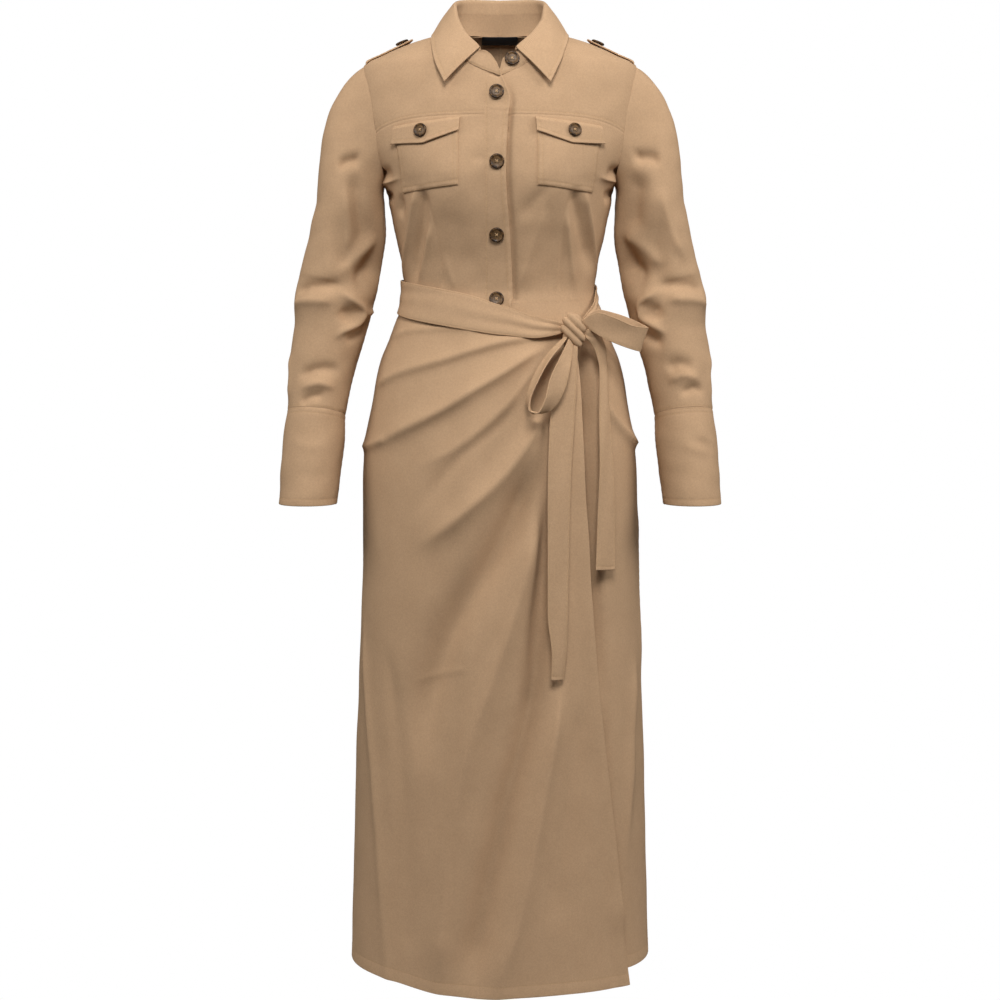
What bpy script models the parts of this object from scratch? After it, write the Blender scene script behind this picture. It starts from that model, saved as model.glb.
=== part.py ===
"""Shirt dress: shirt collar, yoked bodice with patch pockets, long sleeves, wrapped skirt and sash.

The dress keeps the hollow form it has when worn.  Z is up, the front faces -Y and +X is the
wearer's left.  The origin is the middle of the neck at shoulder height.  Sizes and tables are in
millimetres; mesh points are written in metres.

Places on the body are given as an angle and a height.  The angle is 0 at the centre front, 90 at
the left side seam, 180 at the centre back and -90 at the right side seam.
"""

import math

import bmesh
import bpy
import numpy as np
from mathutils import Vector

MM = 0.001

# ---------------------------------------------------------------- cloth and seams
CLOTH = 1.5                 # one layer of twill with its drape
DOUBLE_CLOTH = 2.0          # collar, cuffs, flaps and sash are faced
FACED_CLOTH = 1.8           # collar and ties, faced and pressed flat
LABEL_CLOTH = 1.0
GAP = 0.35                  # between pieces that touch
LAY_GAP = 0.8               # under a piece that lies on a curved panel
SEAM_TRIM = 0.25            # each cut edge stops this far short of its seam line

# ---------------------------------------------------------------- body of the dress
# The level sections of the bodice and skirt: squareness 2 is an ellipse.
BODY_COLUMNS = ("z", "half_width", "front", "back", "squareness")
BODY = (
    (12, 58, 47, 60, 2.0),
    (3, 70, 57, 65, 2.0),
    (-2, 90, 62, 70, 2.0),
    (-10, 118, 68, 77, 2.0),
    (-20, 144, 75, 84, 2.0),
    (-30, 166, 81, 88, 2.0),
    (-42, 189, 87, 93, 2.0),
    (-70, 193, 97, 100, 2.05),
    (-100, 192, 105, 105, 2.1),
    (-130, 188, 110, 107, 2.15),
    (-160, 180, 114, 106, 2.2),
    (-190, 166, 115, 103, 2.2),
    (-205, 158.5, 114, 101, 2.2),
    (-236, 152, 110, 96, 2.2),
    (-281, 142.5, 102, 88, 2.2),
    (-316, 135, 96, 82, 2.2),
    (-348, 131.5, 93, 79, 2.2),
    (-365, 134, 94, 80, 2.2),
    (-389, 144, 99, 86, 2.2),
    (-417, 154.5, 107, 96, 2.2),
    (-444, 165.5, 114, 107, 2.2),
    (-472, 172.5, 121, 117, 2.2),
    (-500, 177, 127, 124, 2.2),
    (-556, 187, 135, 131, 2.2),
    (-612, 191, 140, 133, 2.2),
    (-725, 192.5, 145, 133, 2.2),
    (-852, 197, 149, 134, 2.2),
    (-995, 203, 151, 136, 2.2),
    (-1140, 207, 152, 138, 2.2),
    (-1310, 212, 152, 140, 2.2),
)
BUST_X = 80                 # each cup, shaped by the waist dart under it
BUST_Z = -176
BUST_RISE = 12
BUST_SPREAD_X = 36
BUST_SPREAD_Z = 46

# ---------------------------------------------------------------- seam lines
CENTRE_X = -4.5             # the buttons and the meeting fronts run down this line
NECK_POINT_Z = 3            # where the shoulder seam meets the collar
BACK_NECK_Z = 8.4
# The front neckline, from the neck point to the centre front, under the open ends of the stand.
NECKLINE_COLUMNS = ("x", "z")
NECKLINE = ((70, 3), (68, -4), (64, -16), (56, -29), (42, -42), (24, -52), (0, -62))
SHOULDER_TIP_Z = -42
UNDERARM_Z = -203
ARMHOLE_REACH_FRONT = 27    # degrees round the body, at the widest part of the armhole
ARMHOLE_REACH_BACK = 29
ARMHOLE_ROUNDNESS = 0.8
YOKE_Z = -115.5             # at the centre front
YOKE_DROP = 21.3            # lower at the armhole by this much
WAIST_SIDE_Z = -357
WAIST_FRONT_DROP = 8
BACK_UNDERARM_Z = -214      # on the centre-back seam, level with the underarm row
PANEL_STEPS = 8             # across each bodice panel
ARMHOLE_YOKE_STEPS = 6      # from the shoulder tip to the yoke seam
ARMHOLE_LOWER_STEPS = 4     # from the yoke seam to the underarm
SIDE_STEPS = 6              # from the underarm to the waist
NECKLINE_STEPS = 4
BACK_NECK_STEPS = 5

# ---------------------------------------------------------------- collar
# Half of the collar, in stations from the centre back to the front end of the stand.  The fall
# ends one station sooner than the stand.  Columns: x, y, z.
STAND_SEAM = ((0, 62.5, 9.2), (34, 55, 8.8), (60, 33, 7), (69, 2, 4.5), (67, -44.5, -3), (54, -78, -30),
              (24, -91, -51), (0, -95.5, -61.3))
STAND_TOP = ((0, 62, 36), (32, 55, 36), (55, 35, 34), (63, 3, 28), (59.5, -34, 13), (45.5, -64, -9),
             (23.5, -81.5, -28.5), (10, -85, -30.5))
FALL_EDGE = ((0, 84, 6), (42, 77, 5), (76, 50, 3), (91, 8, 1.5), (93, -40, -8), (86, -80, -38),
             (71, -103, -72.5))
ROLL_RISE = (18, 18, 17, 14, 9, 5, 3)       # the roll above the stand, at each station
COLLAR_STEPS = 2            # columns between two stations
COLLAR_ROLL_RADIUS = 2.6
CLOSING_SHIFT_X = -3.4      # the front of the collar closes to the wearer's right of the middle
CLOSING_FROM_Y = -40
CLOSING_TO_Y = -90
COLLAR_CLEARANCE = 2.2      # the collar's middle layer over the shoulders
COLLAR_FALL_BELLY = 2.5
COLLAR_FALL_SHARES = (0.33, 0.66, 1.0)      # rows between the roll and the outer edge
STAND_BELLY = 1.0
STAND_END_ROUND = 3.5       # the front ends of the stand round in by this much
STAND_BUTTON_COLUMN = -2.5  # where its button sits, counted in columns from the left end

# ---------------------------------------------------------------- front details
PLACKET_LEFT_X = -21
# The free edge of the right front: it bows slightly with the body.
PLACKET_COLUMNS = ("z", "edge_x")
PLACKET = ((-63, 2), (-77, 7.5), (-96, 12), (-118, 9.2), (-190, 5.4), (-281, 11.3), (-366, 14.2),
           (-377, 14.5))
PLACKET_BELOW_SEAM = 1.2    # its top edge under the collar seam
PLACKET_ROWS = 18
PLACKET_STEPS = 3
POCKET_SHIFT_X = -3         # both pockets sit a little to the wearer's right
# Corners as seen from the front, each as (x, z), given for the wearer's left: x grows outward.
POCKET_OUTLINE = {"inner_top": (52.6, -119.5), "outer_top": (138.5, -131), "outer_foot": (127, -218),
                  "inner_foot": (52.6, -209)}
FLAP_OUTLINE = {"inner_top": (49.5, -118.6), "outer_top": (138.5, -129.6), "outer_foot": (141, -153),
                "point": (98, -154), "inner_foot": (51.5, -138)}
POCKET_STEPS = (6, 5)       # across and down
FLAP_STEPS = (8, 3)
LABEL_WIDTH = 52
LABEL_HEIGHT = 11
LABEL_DROP = 1.5
LABEL_STEPS = (6, 2)
LABEL_GAP = 1.8             # inside the back, whose flat facets cut its curve a little short

# ---------------------------------------------------------------- sleeves
SLEEVE_COLUMNS = ("z", "x", "y", "half_width", "half_depth")
SLEEVE = (
    (-232, 206.5, 0, 47.6, 54),
    (-272, 210.5, 1, 52.6, 54),
    (-306, 217, 2, 53.4, 53),
    (-340, 224.5, 2, 54.9, 53),
    (-361, 230, 0, 54.9, 53),
    (-403, 236.2, -3, 50, 51),
    (-444, 245, -10, 46.4, 48),
    (-485, 250, -19, 42.4, 45),
    (-515, 253.6, -26, 40.4, 43),
    (-553, 256.7, -35, 42.6, 43),
    (-594, 260.3, -45, 41.3, 42),
    (-640, 264.2, -55, 39.8, 41),
)
CUFF_TOP_Z = -516
CUFF_FOOT_Z = -640
SLEEVE_CAP_STEPS = 5        # rings from the armhole to the first level ring
SLEEVE_ARM_STEPS = 8
CUFF_STEPS = 2
CAP_OUTWARD = 0.85          # how far the sleeve head leaves the armhole before it turns down
CAP_FULLNESS = 1.12
UNDERARM_FULLNESS = 0.9
# Soft folds on a sleeve: each runs between two places given as an angle round the arm
# (0 outer side, 90 front, 180 inner side) and a height.
SLEEVE_FOLD_COLUMNS = ("angle_1", "z_1", "angle_2", "z_2", "width", "rise")
SLEEVE_FOLDS = (
    (60, -165, 128, -270, 12, -3.2),
    (20, -170, 50, -265, 15, 2.4),
    (150, -335, 75, -412, 10, -3.0),
    (160, -362, 70, -372, 11, 2.6),
    (30, -402, 150, -400, 11, 1.8),
    (20, -470, 150, -455, 10, -2.0),
    (200, -340, 290, -420, 12, -2.4),
    (220, -380, 320, -372, 11, 2.2),
)
ARM_RADIUS = 48             # turns a fold's angle into a distance round the arm
SLEEVE_FOLD_DROP = 7        # the right sleeve's folds sit lower by this much

# ---------------------------------------------------------------- epaulettes
# Across the shoulder seam: x along the shoulder, half width front to back, rise above it.
EPAULETTE_COLUMNS = ("x", "half_width", "rise")
EPAULETTE = ((182, 19, 0.3), (170, 18.5, 0), (150, 18, 0.2), (136, 17.5, 0.6), (126, 17, 1.5), (118, 3, 2.8))
EPAULETTE_STEPS = 9
EPAULETTE_LIFT = 0.5        # over the rounded shoulder
EPAULETTE_ACROSS_STEPS = 6
EPAULETTE_BUTTON_X = 134

# ---------------------------------------------------------------- skirt
WRAP_ROWS = 26
SKIRT_ROWS = 20
# The wrapped panel ends beside the knot and its edge falls to the hem.
WRAP_EDGE_COLUMNS = ("z", "x")
WRAP_EDGE = ((-409, 100), (-440, 103), (-495, 106), (-604, 111), (-682, 116), (-772, 121), (-901, 132),
             (-1042, 147), (-1140, 157), (-1222, 164), (-1304, 174))
WRAP_TOP_COLUMNS = ("x", "z")
WRAP_TOP = ((-50, -357), (-30, -366), (0, -383), (40, -397), (75, -404), (100, -409))
WRAP_HEM_COLUMNS = ("x", "z")
WRAP_HEM = ((-212, -1289), (-148, -1293), (-78, -1304), (-24, -1306), (32, -1304.5), (101, -1303),
            (174, -1304))
UNDER_HEM_Z = -1283
BACK_HEM_Z = -1289
WRAP_LIFT = 4.5             # the wrap over the under panel
WRAP_LIFT_FROM_X = -72
WRAP_LIFT_TO_X = -34
WRAP_CLEARANCE = 0.9        # the least space its troughs leave over the under panel
WRAP_TROUGH_KEPT = 0.05     # share of a deeper trough that still shows
UNDER_EDGE_X = -30          # the under panel's hidden edge
UNDER_FLAT_PAST_EDGE = 6    # it stays flat this far beyond the wrap's edge
UNDER_FOLD_FROM_EDGE = 24   # and its folds are full this much further
WRAP_STEPS = 25
BACK_STEPS = 16
UNDER_STEPS = 10
SKIRT_ROW_POWER = 1.35      # rows lie closer together near the waist
FOLD_SAMPLES = 15           # places along one fold
FOLD_END_SOFTNESS = 0.6
SASH_PRESS_DROP = 15        # folds begin this far below the waist seam
SASH_PRESS_LENGTH = 45      # and are full this much lower
# Folds of the skirt: each runs through three places seen from the front, and dies out at both
# ends.  Widths are to its left and right, going along it; a negative rise is a trough.
SKIRT_FOLD_COLUMNS = ("x_1", "z_1", "x_2", "z_2", "x_3", "z_3", "left", "right", "rise")
SKIRT_FOLDS = (
    (60, -414, -55, -436, -168, -470, 9, 15, -5.0),
    (-30, -408, -95, -424, -160, -446, 10, 10, 3.0),
    (64, -420, -62, -500, -192, -556, 22, 12, 8.5),
    (50, -440, -40, -531, -150, -588, 9, 13, -4.5),
    (55, -448, -35, -538, -120, -590, 12, 12, 3.0),
    (62, -470, -40, -560, -112, -648, 11, 14, -4.0),
    (66, -462, -20, -602, -135, -700, 18, 13, 6.5),
    (80, -470, 0, -640, -102, -850, 14, 15, -5.5),
    (70, -560, 20, -720, -20, -850, 20, 20, 5.5),
    (84, -520, 58, -730, 10, -915, 11, 13, -4.5),
    (84, -800, 14, -960, -34, -1230, 20, 22, -4.0),
    (96, -830, 56, -1010, 30, -1200, 22, 24, 4.0),
    (-180, -840, -162, -990, -146, -1180, 20, 22, 4.0),
    (-110, -860, -60, -1050, -80, -1240, 26, 26, 2.5),
    (118, -600, 130, -760, 142, -960, 10, 14, 2.0),
    (150, -520, 182, -556, 192, -590, 13, 15, 5.0),
    (150, -470, 168, -500, 186, -520, 10, 10, -3.0),
    (196, -900, 186, -1080, 176, -1240, 16, 18, 4.0),
    (194, -620, 188, -760, 190, -900, 16, 18, 3.0),
)
# Folds on the back of the skirt, in the same columns, seen from the front through the cloth.
BACK_FOLDS = (
    (60, -420, 95, -640, 110, -900, 22, 22, 4.0),
    (-20, -430, -30, -700, -20, -1000, 24, 24, 3.5),
    (-90, -430, -110, -650, -125, -950, 22, 22, 4.0),
    (20, -600, 30, -900, 40, -1230, 26, 26, -4.0),
    (-70, -640, -80, -900, -85, -1230, 26, 26, -3.5),
    (120, -700, 135, -950, 140, -1240, 22, 22, -4.0),
    (-186, -552, -120, -500, -60, -440, 16, 20, 5.0),
    (180, -560, 130, -500, 70, -440, 16, 18, 4.0),
)

# ---------------------------------------------------------------- sash
SASH_COLUMNS = ("angle", "top_z", "foot_z", "out")
SASH_FRONT = ((-92, -333, -379, 5.5), (-60, -338, -387, 6.5), (-27, -349, -398, 8), (0, -369, -410, 10.5),
              (15, -385, -415, 12.5), (23, -391, -413, 14.5), (29, -395, -410, 16))
SASH_BACK = ((267.6, -333, -379, 5.5), (225, -331, -378, 4.5), (180, -331, -378, 4.5), (135, -333, -378, 4.5),
             (97, -340, -377, 3.4), (82, -347, -377, 3.6), (68, -359, -379, 8), (55, -378, -391, 15))
SASH_FRONT_STEPS = 14
SASH_BACK_STEPS = 20
BAND_ROWS = 3
KNOT_CENTRE = (98, -108, -401)
KNOT_HALF = (14.5, 12, 20)
KNOT_TURNS = 3
KNOT_TURN_RISE = 1.4
KNOT_SLANT = (0.35, 0.5)    # how the turns climb over the knot, sideways and upward
BAND_SEAT = 0.8             # the middle layer of a band's end stands this far off the knot
LOOP_SEAT = 1.15
KNOT_RINGS = 10
KNOT_SIDES = 18
# Loops: x, y, z of one edge of the folded band, then x, y, z of its other edge.
LOW_LOOP = (
    (86, -122, -417, 80, -116, -415),
    (67, -142, -437, 60, -126, -436),
    (50, -158, -466, 43, -138, -466),
    (38, -166, -492, 35, -144, -494),
    (38, -170, -506, 46, -148, -511),
    (52, -171, -511, 65, -150, -507),
    (66, -166, -492, 84, -146, -483),
    (74, -154, -462, 92, -136, -452),
    (84, -138, -436, 96, -122, -430),
)
SIDE_LOOP = (
    (115, -107, -383, 115, -105, -394),
    (132, -104, -378, 132, -102, -404),
    (155, -101, -384, 155, -99, -417),
    (182, -98, -394, 180, -96, -427),
    (199, -91, -398, 189, -89, -430),
    (182, -83, -393, 180, -81, -426),
    (155, -84, -385, 155, -82, -415),
    (132, -89, -379, 132, -88, -401),
    (115, -100, -384, 115, -99, -393),
)
LOW_LOOP_STEPS = 18
SIDE_LOOP_STEPS = 16
# The hanging ties: x, z, half width, how far they hang in front of the plain skirt, and how many
# degrees their left edge swings back.
LONG_TAIL = ((98, -424, 6, 26, 0), (91, -452, 12, 22, 5), (86, -482, 16, 19, 10), (83, -515, 17, 17, 14),
             (79, -600, 16, 15, 15), (78, -690, 15, 15, 15), (77, -780, 14, 15, 15), (79, -830, 11, 15, 25),
             (76.5, -868, 9.5, 14, 30))
SHORT_TAIL = ((116, -405, 5, 36, 30), (125, -410, 7, 34, 35), (134, -428, 8, 26, 45),
              (139, -455, 8.5, 20, 50), (141, -520, 11, 17, 45), (143, -600, 13, 15, 38),
              (143, -670, 15, 14, 34), (142, -724, 16, 14, 32))
TIE_STEPS = 16

# ---------------------------------------------------------------- buttons
BUTTON_RADIUS = 10
POCKET_BUTTON_RADIUS = 9.2
BUTTON_SIDES = 12
BUTTON_GAP = 0.85           # its flat back over cloth that curves under it
# The turned outline of a button from the middle of its back: radius and height, as shares of its
# whole radius.
BUTTON_PROFILE = ((0.86, 0.0), (1.0, 0.14), (0.96, 0.30), (0.82, 0.35), (0.68, 0.24))
FRONT_BUTTON_Z = (-87.5, -178, -273, -361)
POCKET_BUTTON_UP = 15.5     # above the flap's point

# ---------------------------------------------------------------- colours
TWILL_COLOUR = (0.42, 0.255, 0.135, 1.0)
HORN_COLOUR = (0.060, 0.032, 0.018, 1.0)
LABEL_COLOUR = (0.010, 0.010, 0.011, 1.0)


def clear_scene():
    for item in list(bpy.data.objects):
        bpy.data.objects.remove(item, do_unlink=True)


def make_material(name, colour, roughness):
    material = bpy.data.materials.new(name)
    material.use_nodes = True
    shader = material.node_tree.nodes["Principled BSDF"]
    shader.inputs["Base Color"].default_value = colour
    shader.inputs["Roughness"].default_value = roughness
    shader.inputs["Metallic"].default_value = 0.0
    return material


# ---------------------------------------------------------------- curves
def smooth(places, knots, values):
    """Read a smooth curve that passes through the table's rows and never overshoots them."""
    knots = np.asarray(knots, float)
    values = np.asarray(values, float)
    if knots[0] > knots[-1]:
        knots = knots[::-1]
        values = values[::-1]
    places = np.clip(places, knots[0], knots[-1])
    step = np.diff(knots)
    slope = np.diff(values) / step
    tangent = np.zeros_like(values)
    tangent[0] = slope[0]
    tangent[-1] = slope[-1]
    same_way = slope[:-1] * slope[1:] > 0
    mean = 2 * slope[:-1] * slope[1:] / np.where(same_way, slope[:-1] + slope[1:], 1)
    tangent[1:-1] = np.where(same_way, mean, 0)
    cell = np.clip(np.searchsorted(knots, places, side="right") - 1, 0, len(step) - 1)
    width = step[cell]
    along = (places - knots[cell]) / width
    left = values[cell]
    right = values[cell + 1]
    rise = tangent[cell] * width
    fall = tangent[cell + 1] * width
    return (left * (1 + 2 * along) * (1 - along) ** 2 + rise * along * (1 - along) ** 2
            + right * along ** 2 * (3 - 2 * along) + fall * along ** 2 * (along - 1))


def column(table, names, wanted):
    return np.array([row[names.index(wanted)] for row in table], float)


def read(table, names, at, wanted, places):
    return smooth(places, column(table, names, at), column(table, names, wanted))


def curve_through(points, count):
    """A rounded curve of evenly shared steps through a few points."""
    points = np.asarray(points, float)
    lengths = np.linalg.norm(np.diff(points, axis=0), axis=1)
    reached = np.concatenate(([0], np.cumsum(lengths)))
    places = np.linspace(0, reached[-1], count)
    return np.stack([smooth(places, reached, points[:, axis]) for axis in range(points.shape[1])], axis=1)


def unit(vectors):
    return vectors / np.maximum(np.linalg.norm(vectors, axis=-1, keepdims=True), 1e-9)


# ---------------------------------------------------------------- the body form
def body_form(angle, z):
    """The plain form of bodice and skirt, without folds."""
    angle = np.asarray(angle, float)
    z = np.broadcast_to(np.asarray(z, float), angle.shape)
    half_width = read(BODY, BODY_COLUMNS, "z", "half_width", z)
    front = read(BODY, BODY_COLUMNS, "z", "front", z)
    back = read(BODY, BODY_COLUMNS, "z", "back", z)
    power = 2 / read(BODY, BODY_COLUMNS, "z", "squareness", z)
    sine = np.sin(np.radians(angle))
    cosine = np.cos(np.radians(angle))
    x = half_width * np.sign(sine) * np.abs(sine) ** power
    depth = np.where(cosine > 0, -front, back)
    y = depth * np.abs(cosine) ** power
    cups = sum(np.exp(-0.5 * ((x - side * BUST_X) / BUST_SPREAD_X) ** 2) for side in (-1, 1))
    cups = cups * np.exp(-0.5 * ((z - BUST_Z) / BUST_SPREAD_Z) ** 2) * np.clip(cosine, 0, 1) ** 0.5
    return np.stack([x, y - BUST_RISE * cups, z], axis=-1)


def angle_at(x, z):
    """The angle of the place on the front that is seen at x and z."""
    half_width = read(BODY, BODY_COLUMNS, "z", "half_width", z)
    squareness = read(BODY, BODY_COLUMNS, "z", "squareness", z)
    share = np.clip(np.abs(x) / half_width, 0, 1) ** (squareness / 2)
    return np.sign(x) * np.degrees(np.arcsin(share))


def with_normals(surface, angle, z):
    """Points of a surface and the directions that face out of it."""
    angle = np.asarray(angle, float)
    z = np.broadcast_to(np.asarray(z, float), angle.shape)
    turn = 0.4
    drop = 0.8
    across = surface(angle + turn, z) - surface(angle - turn, z)
    down = surface(angle, z - drop) - surface(angle, z + drop)
    return surface(angle, z), unit(np.cross(down, across))


# ---------------------------------------------------------------- folds
def fold_rise(points, folds, locate):
    """How far the folds lift or sink the cloth at each point."""
    flat = points.reshape(-1, 3)
    outward = unit(flat * (1, 1, 0))
    total = np.zeros(len(flat))
    share = np.linspace(0, 1, FOLD_SAMPLES)[:, None]
    for row in folds:
        fold = dict(zip(SKIRT_FOLD_COLUMNS, row))
        start = np.array((fold["x_1"], fold["z_1"]))
        end = np.array((fold["x_3"], fold["z_3"]))
        pull = 2 * np.array((fold["x_2"], fold["z_2"])) - (start + end) / 2
        seen = (1 - share) ** 2 * start + 2 * share * (1 - share) * pull + share ** 2 * end
        line = locate(seen[:, 0], seen[:, 1])
        offset = flat[:, None, :] - line[None, :, :]
        distance = np.linalg.norm(offset, axis=2)
        nearest = distance.argmin(axis=1)
        along = unit(np.gradient(line, axis=0))[nearest]
        apart = offset[np.arange(len(flat)), nearest]
        side = np.einsum("ij,ij->i", np.cross(along, apart), outward)
        width = np.where(side > 0, fold["left"], fold["right"])
        reached = np.clip(nearest / (len(line) - 1), 0.02, 0.98)
        fade = np.sin(np.pi * reached) ** FOLD_END_SOFTNESS
        bump = np.exp(-0.5 * (np.linalg.norm(apart, axis=1) / width) ** 2)
        total += fold["rise"] * fade * bump
    return total.reshape(points.shape[:-1])


def locate_front(x, z):
    return body_form(angle_at(x, z), z)


def locate_back(x, z):
    return body_form(180 - angle_at(x, z), z)


def skirt_rise(points):
    """Folds fade out where the sash presses them to the waist."""
    rise = fold_rise(points, SKIRT_FOLDS, locate_front) + fold_rise(points, BACK_FOLDS, locate_back)
    free = np.clip((WAIST_SIDE_Z - SASH_PRESS_DROP - points[..., 2]) / SASH_PRESS_LENGTH, 0, 1)
    return rise * free * free * (3 - 2 * free)


def wrap_surface(angle, z):
    """The wrapped panel: its folds, and its lift where it lies over the under panel."""
    plain, out = with_normals(body_form, angle, z)
    share = np.clip((plain[..., 0] - WRAP_LIFT_FROM_X) / (WRAP_LIFT_TO_X - WRAP_LIFT_FROM_X), 0, 1)
    lift = share * share * (3 - 2 * share)
    rise = skirt_rise(plain)
    least = CLOTH + WRAP_CLEARANCE - WRAP_LIFT
    kept = np.where(rise < least, least + (rise - least) * WRAP_TROUGH_KEPT, rise)
    rise = rise * (1 - lift) + (kept + WRAP_LIFT) * lift
    return plain + out * rise[..., None]


def under_surface(angle, z):
    """The under panel lies flat where the wrap covers it."""
    plain, out = with_normals(body_form, angle, z)
    edge = read(WRAP_EDGE, WRAP_EDGE_COLUMNS, "z", "x", plain[..., 2])
    clear = np.clip((plain[..., 0] - edge - UNDER_FLAT_PAST_EDGE) / UNDER_FOLD_FROM_EDGE, 0, 1)
    rise = skirt_rise(plain) * clear * clear * (3 - 2 * clear)
    return plain + out * rise[..., None]


def back_surface(angle, z):
    plain, out = with_normals(body_form, angle, z)
    return plain + out * skirt_rise(plain)[..., None]


# ---------------------------------------------------------------- solids
def add_solid(name, vertices, faces, material, smooth_angle=50):
    """A closed mesh as an object, turned so that its faces point out."""
    mesh = bpy.data.meshes.new(name)
    mesh.from_pydata([tuple(point) for point in np.asarray(vertices) * MM], [], faces)
    shape = bmesh.new()
    shape.from_mesh(mesh)
    if shape.calc_volume(signed=True) < 0:
        bmesh.ops.reverse_faces(shape, faces=shape.faces)
    bmesh.ops.triangulate(shape, faces=shape.faces)
    shape.to_mesh(mesh)
    shape.free()
    mesh.shade_smooth()
    mesh.set_sharp_from_angle(angle=math.radians(smooth_angle))
    mesh.materials.append(material)
    body = bpy.data.objects.new(name, mesh)
    bpy.context.scene.collection.objects.link(body)
    return body


def wall(name, outer, inner, material, tube=False):
    """Close two matching grids of points into one wall; a tube also joins its first column."""
    rows, columns = outer.shape[:2]
    vertices = np.concatenate([outer.reshape(-1, 3), inner.reshape(-1, 3)])
    half = rows * columns
    spans = columns if tube else columns - 1

    def at(row, col, face):
        return row * columns + col % columns + face * half

    faces = []
    for row in range(rows - 1):
        for col in range(spans):
            ring = (at(row, col, 0), at(row, col + 1, 0), at(row + 1, col + 1, 0), at(row + 1, col, 0))
            faces.append(ring)
            faces.append(tuple(half + corner for corner in reversed(ring)))
    for col in range(spans):
        faces.append((at(0, col + 1, 0), at(0, col, 0), at(0, col, 1), at(0, col + 1, 1)))
        last = rows - 1
        faces.append((at(last, col, 0), at(last, col + 1, 0), at(last, col + 1, 1), at(last, col, 1)))
    if not tube:
        end = columns - 1
        for row in range(rows - 1):
            faces.append((at(row, 0, 0), at(row + 1, 0, 0), at(row + 1, 0, 1), at(row, 0, 1)))
            faces.append((at(row + 1, end, 0), at(row, end, 0), at(row, end, 1), at(row + 1, end, 1)))
    return add_solid(name, vertices, faces, material)


def grid_normals(points, tube=False):
    """Directions square to a grid of points."""
    down = np.gradient(points, axis=0)
    if tube:
        across = np.roll(points, -1, axis=1) - np.roll(points, 1, axis=1)
    else:
        across = np.gradient(points, axis=1)
    return unit(np.cross(down, across))


def sheet(name, points, thickness, material):
    """A band of cloth with the given points as its middle layer."""
    normals = grid_normals(points)
    return wall(name, points + normals * thickness / 2, points - normals * thickness / 2, material)


def trim(points, amount=SEAM_TRIM):
    """Pull the four cut edges of a grid back from their seam lines."""
    trimmed = points.copy()
    trimmed[0] += unit(points[1] - points[0]) * amount
    trimmed[-1] += unit(points[-2] - points[-1]) * amount
    trimmed[:, 0] += unit(points[:, 1] - points[:, 0]) * amount
    trimmed[:, -1] += unit(points[:, -2] - points[:, -1]) * amount
    return trimmed


def patch(top, foot, left, right, down):
    """Fill four edges with a grid of (angle, z) places; left and right run downward."""
    across = np.linspace(0, 1, len(top))[None, :, None]
    down = down[:, None, None]
    downward = (1 - down) * top[None] + down * foot[None]
    sideways = (1 - across) * left[:, None] + across * right[:, None]
    corners = ((1 - down) * ((1 - across) * top[0] + across * top[-1])
               + down * ((1 - across) * foot[0] + across * foot[-1]))
    return downward + sideways - corners


def reached_down(edge):
    """How far down each point of an edge lies, as a share of its drop."""
    return (edge[:, 1] - edge[0, 1]) / (edge[-1, 1] - edge[0, 1])


def lay_panel(name, surface, places, material, rise=0.0, thickness=CLOTH):
    """Cut a panel from a surface: its outer face stands off the surface by the given rise."""
    points, normals = with_normals(surface, places[..., 0], places[..., 1])
    outer = trim(points + normals * rise)
    inner = trim(points + normals * (rise - thickness))
    return wall(name, outer, inner, material)


# ---------------------------------------------------------------- seam lines as (angle, z) places
def places(angles, heights):
    return np.stack([np.asarray(angles, float), np.asarray(heights, float)], axis=1)


def waist_z(angle):
    return WAIST_SIDE_Z - WAIST_FRONT_DROP * np.clip(np.cos(np.radians(angle)), 0, 1)


def yoke_z(angle):
    return YOKE_Z - YOKE_DROP * (np.abs(angle) / (90 - ARMHOLE_REACH_FRONT)) ** 3


def armhole(reach):
    """One side of the left armhole, from the shoulder tip to the underarm."""
    middle = (SHOULDER_TIP_Z + UNDERARM_Z) / 2
    half = (SHOULDER_TIP_Z - UNDERARM_Z) / 2
    at_yoke = math.degrees(math.acos((YOKE_Z - YOKE_DROP - middle) / half))
    upper = np.linspace(0, at_yoke, ARMHOLE_YOKE_STEPS + 1)
    lower = np.linspace(at_yoke, 180, ARMHOLE_LOWER_STEPS + 1)[1:]
    turn = np.radians(np.concatenate([upper, lower]))
    return places(90 - reach * np.abs(np.sin(turn)) ** ARMHOLE_ROUNDNESS, middle + half * np.cos(turn))


def shoulder_seam():
    return places(np.full(PANEL_STEPS + 1, 90), np.linspace(NECK_POINT_Z, SHOULDER_TIP_Z, PANEL_STEPS + 1))


def mirrored(grid):
    return grid * (-1, 1)


def closing_shift(y):
    """The front of the neck closes a little to the wearer's right."""
    return CLOSING_SHIFT_X * np.clip((y - CLOSING_FROM_Y) / (CLOSING_TO_Y - CLOSING_FROM_Y), 0, 1)


def front_neckline(side):
    seen = curve_through(NECKLINE, NECKLINE_STEPS + 1)
    y = locate_front(seen[:, 0], seen[:, 1])[:, 1]
    x = seen[:, 0] + side * closing_shift(y)
    return places(angle_at(x, seen[:, 1]), seen[:, 1])


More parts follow.
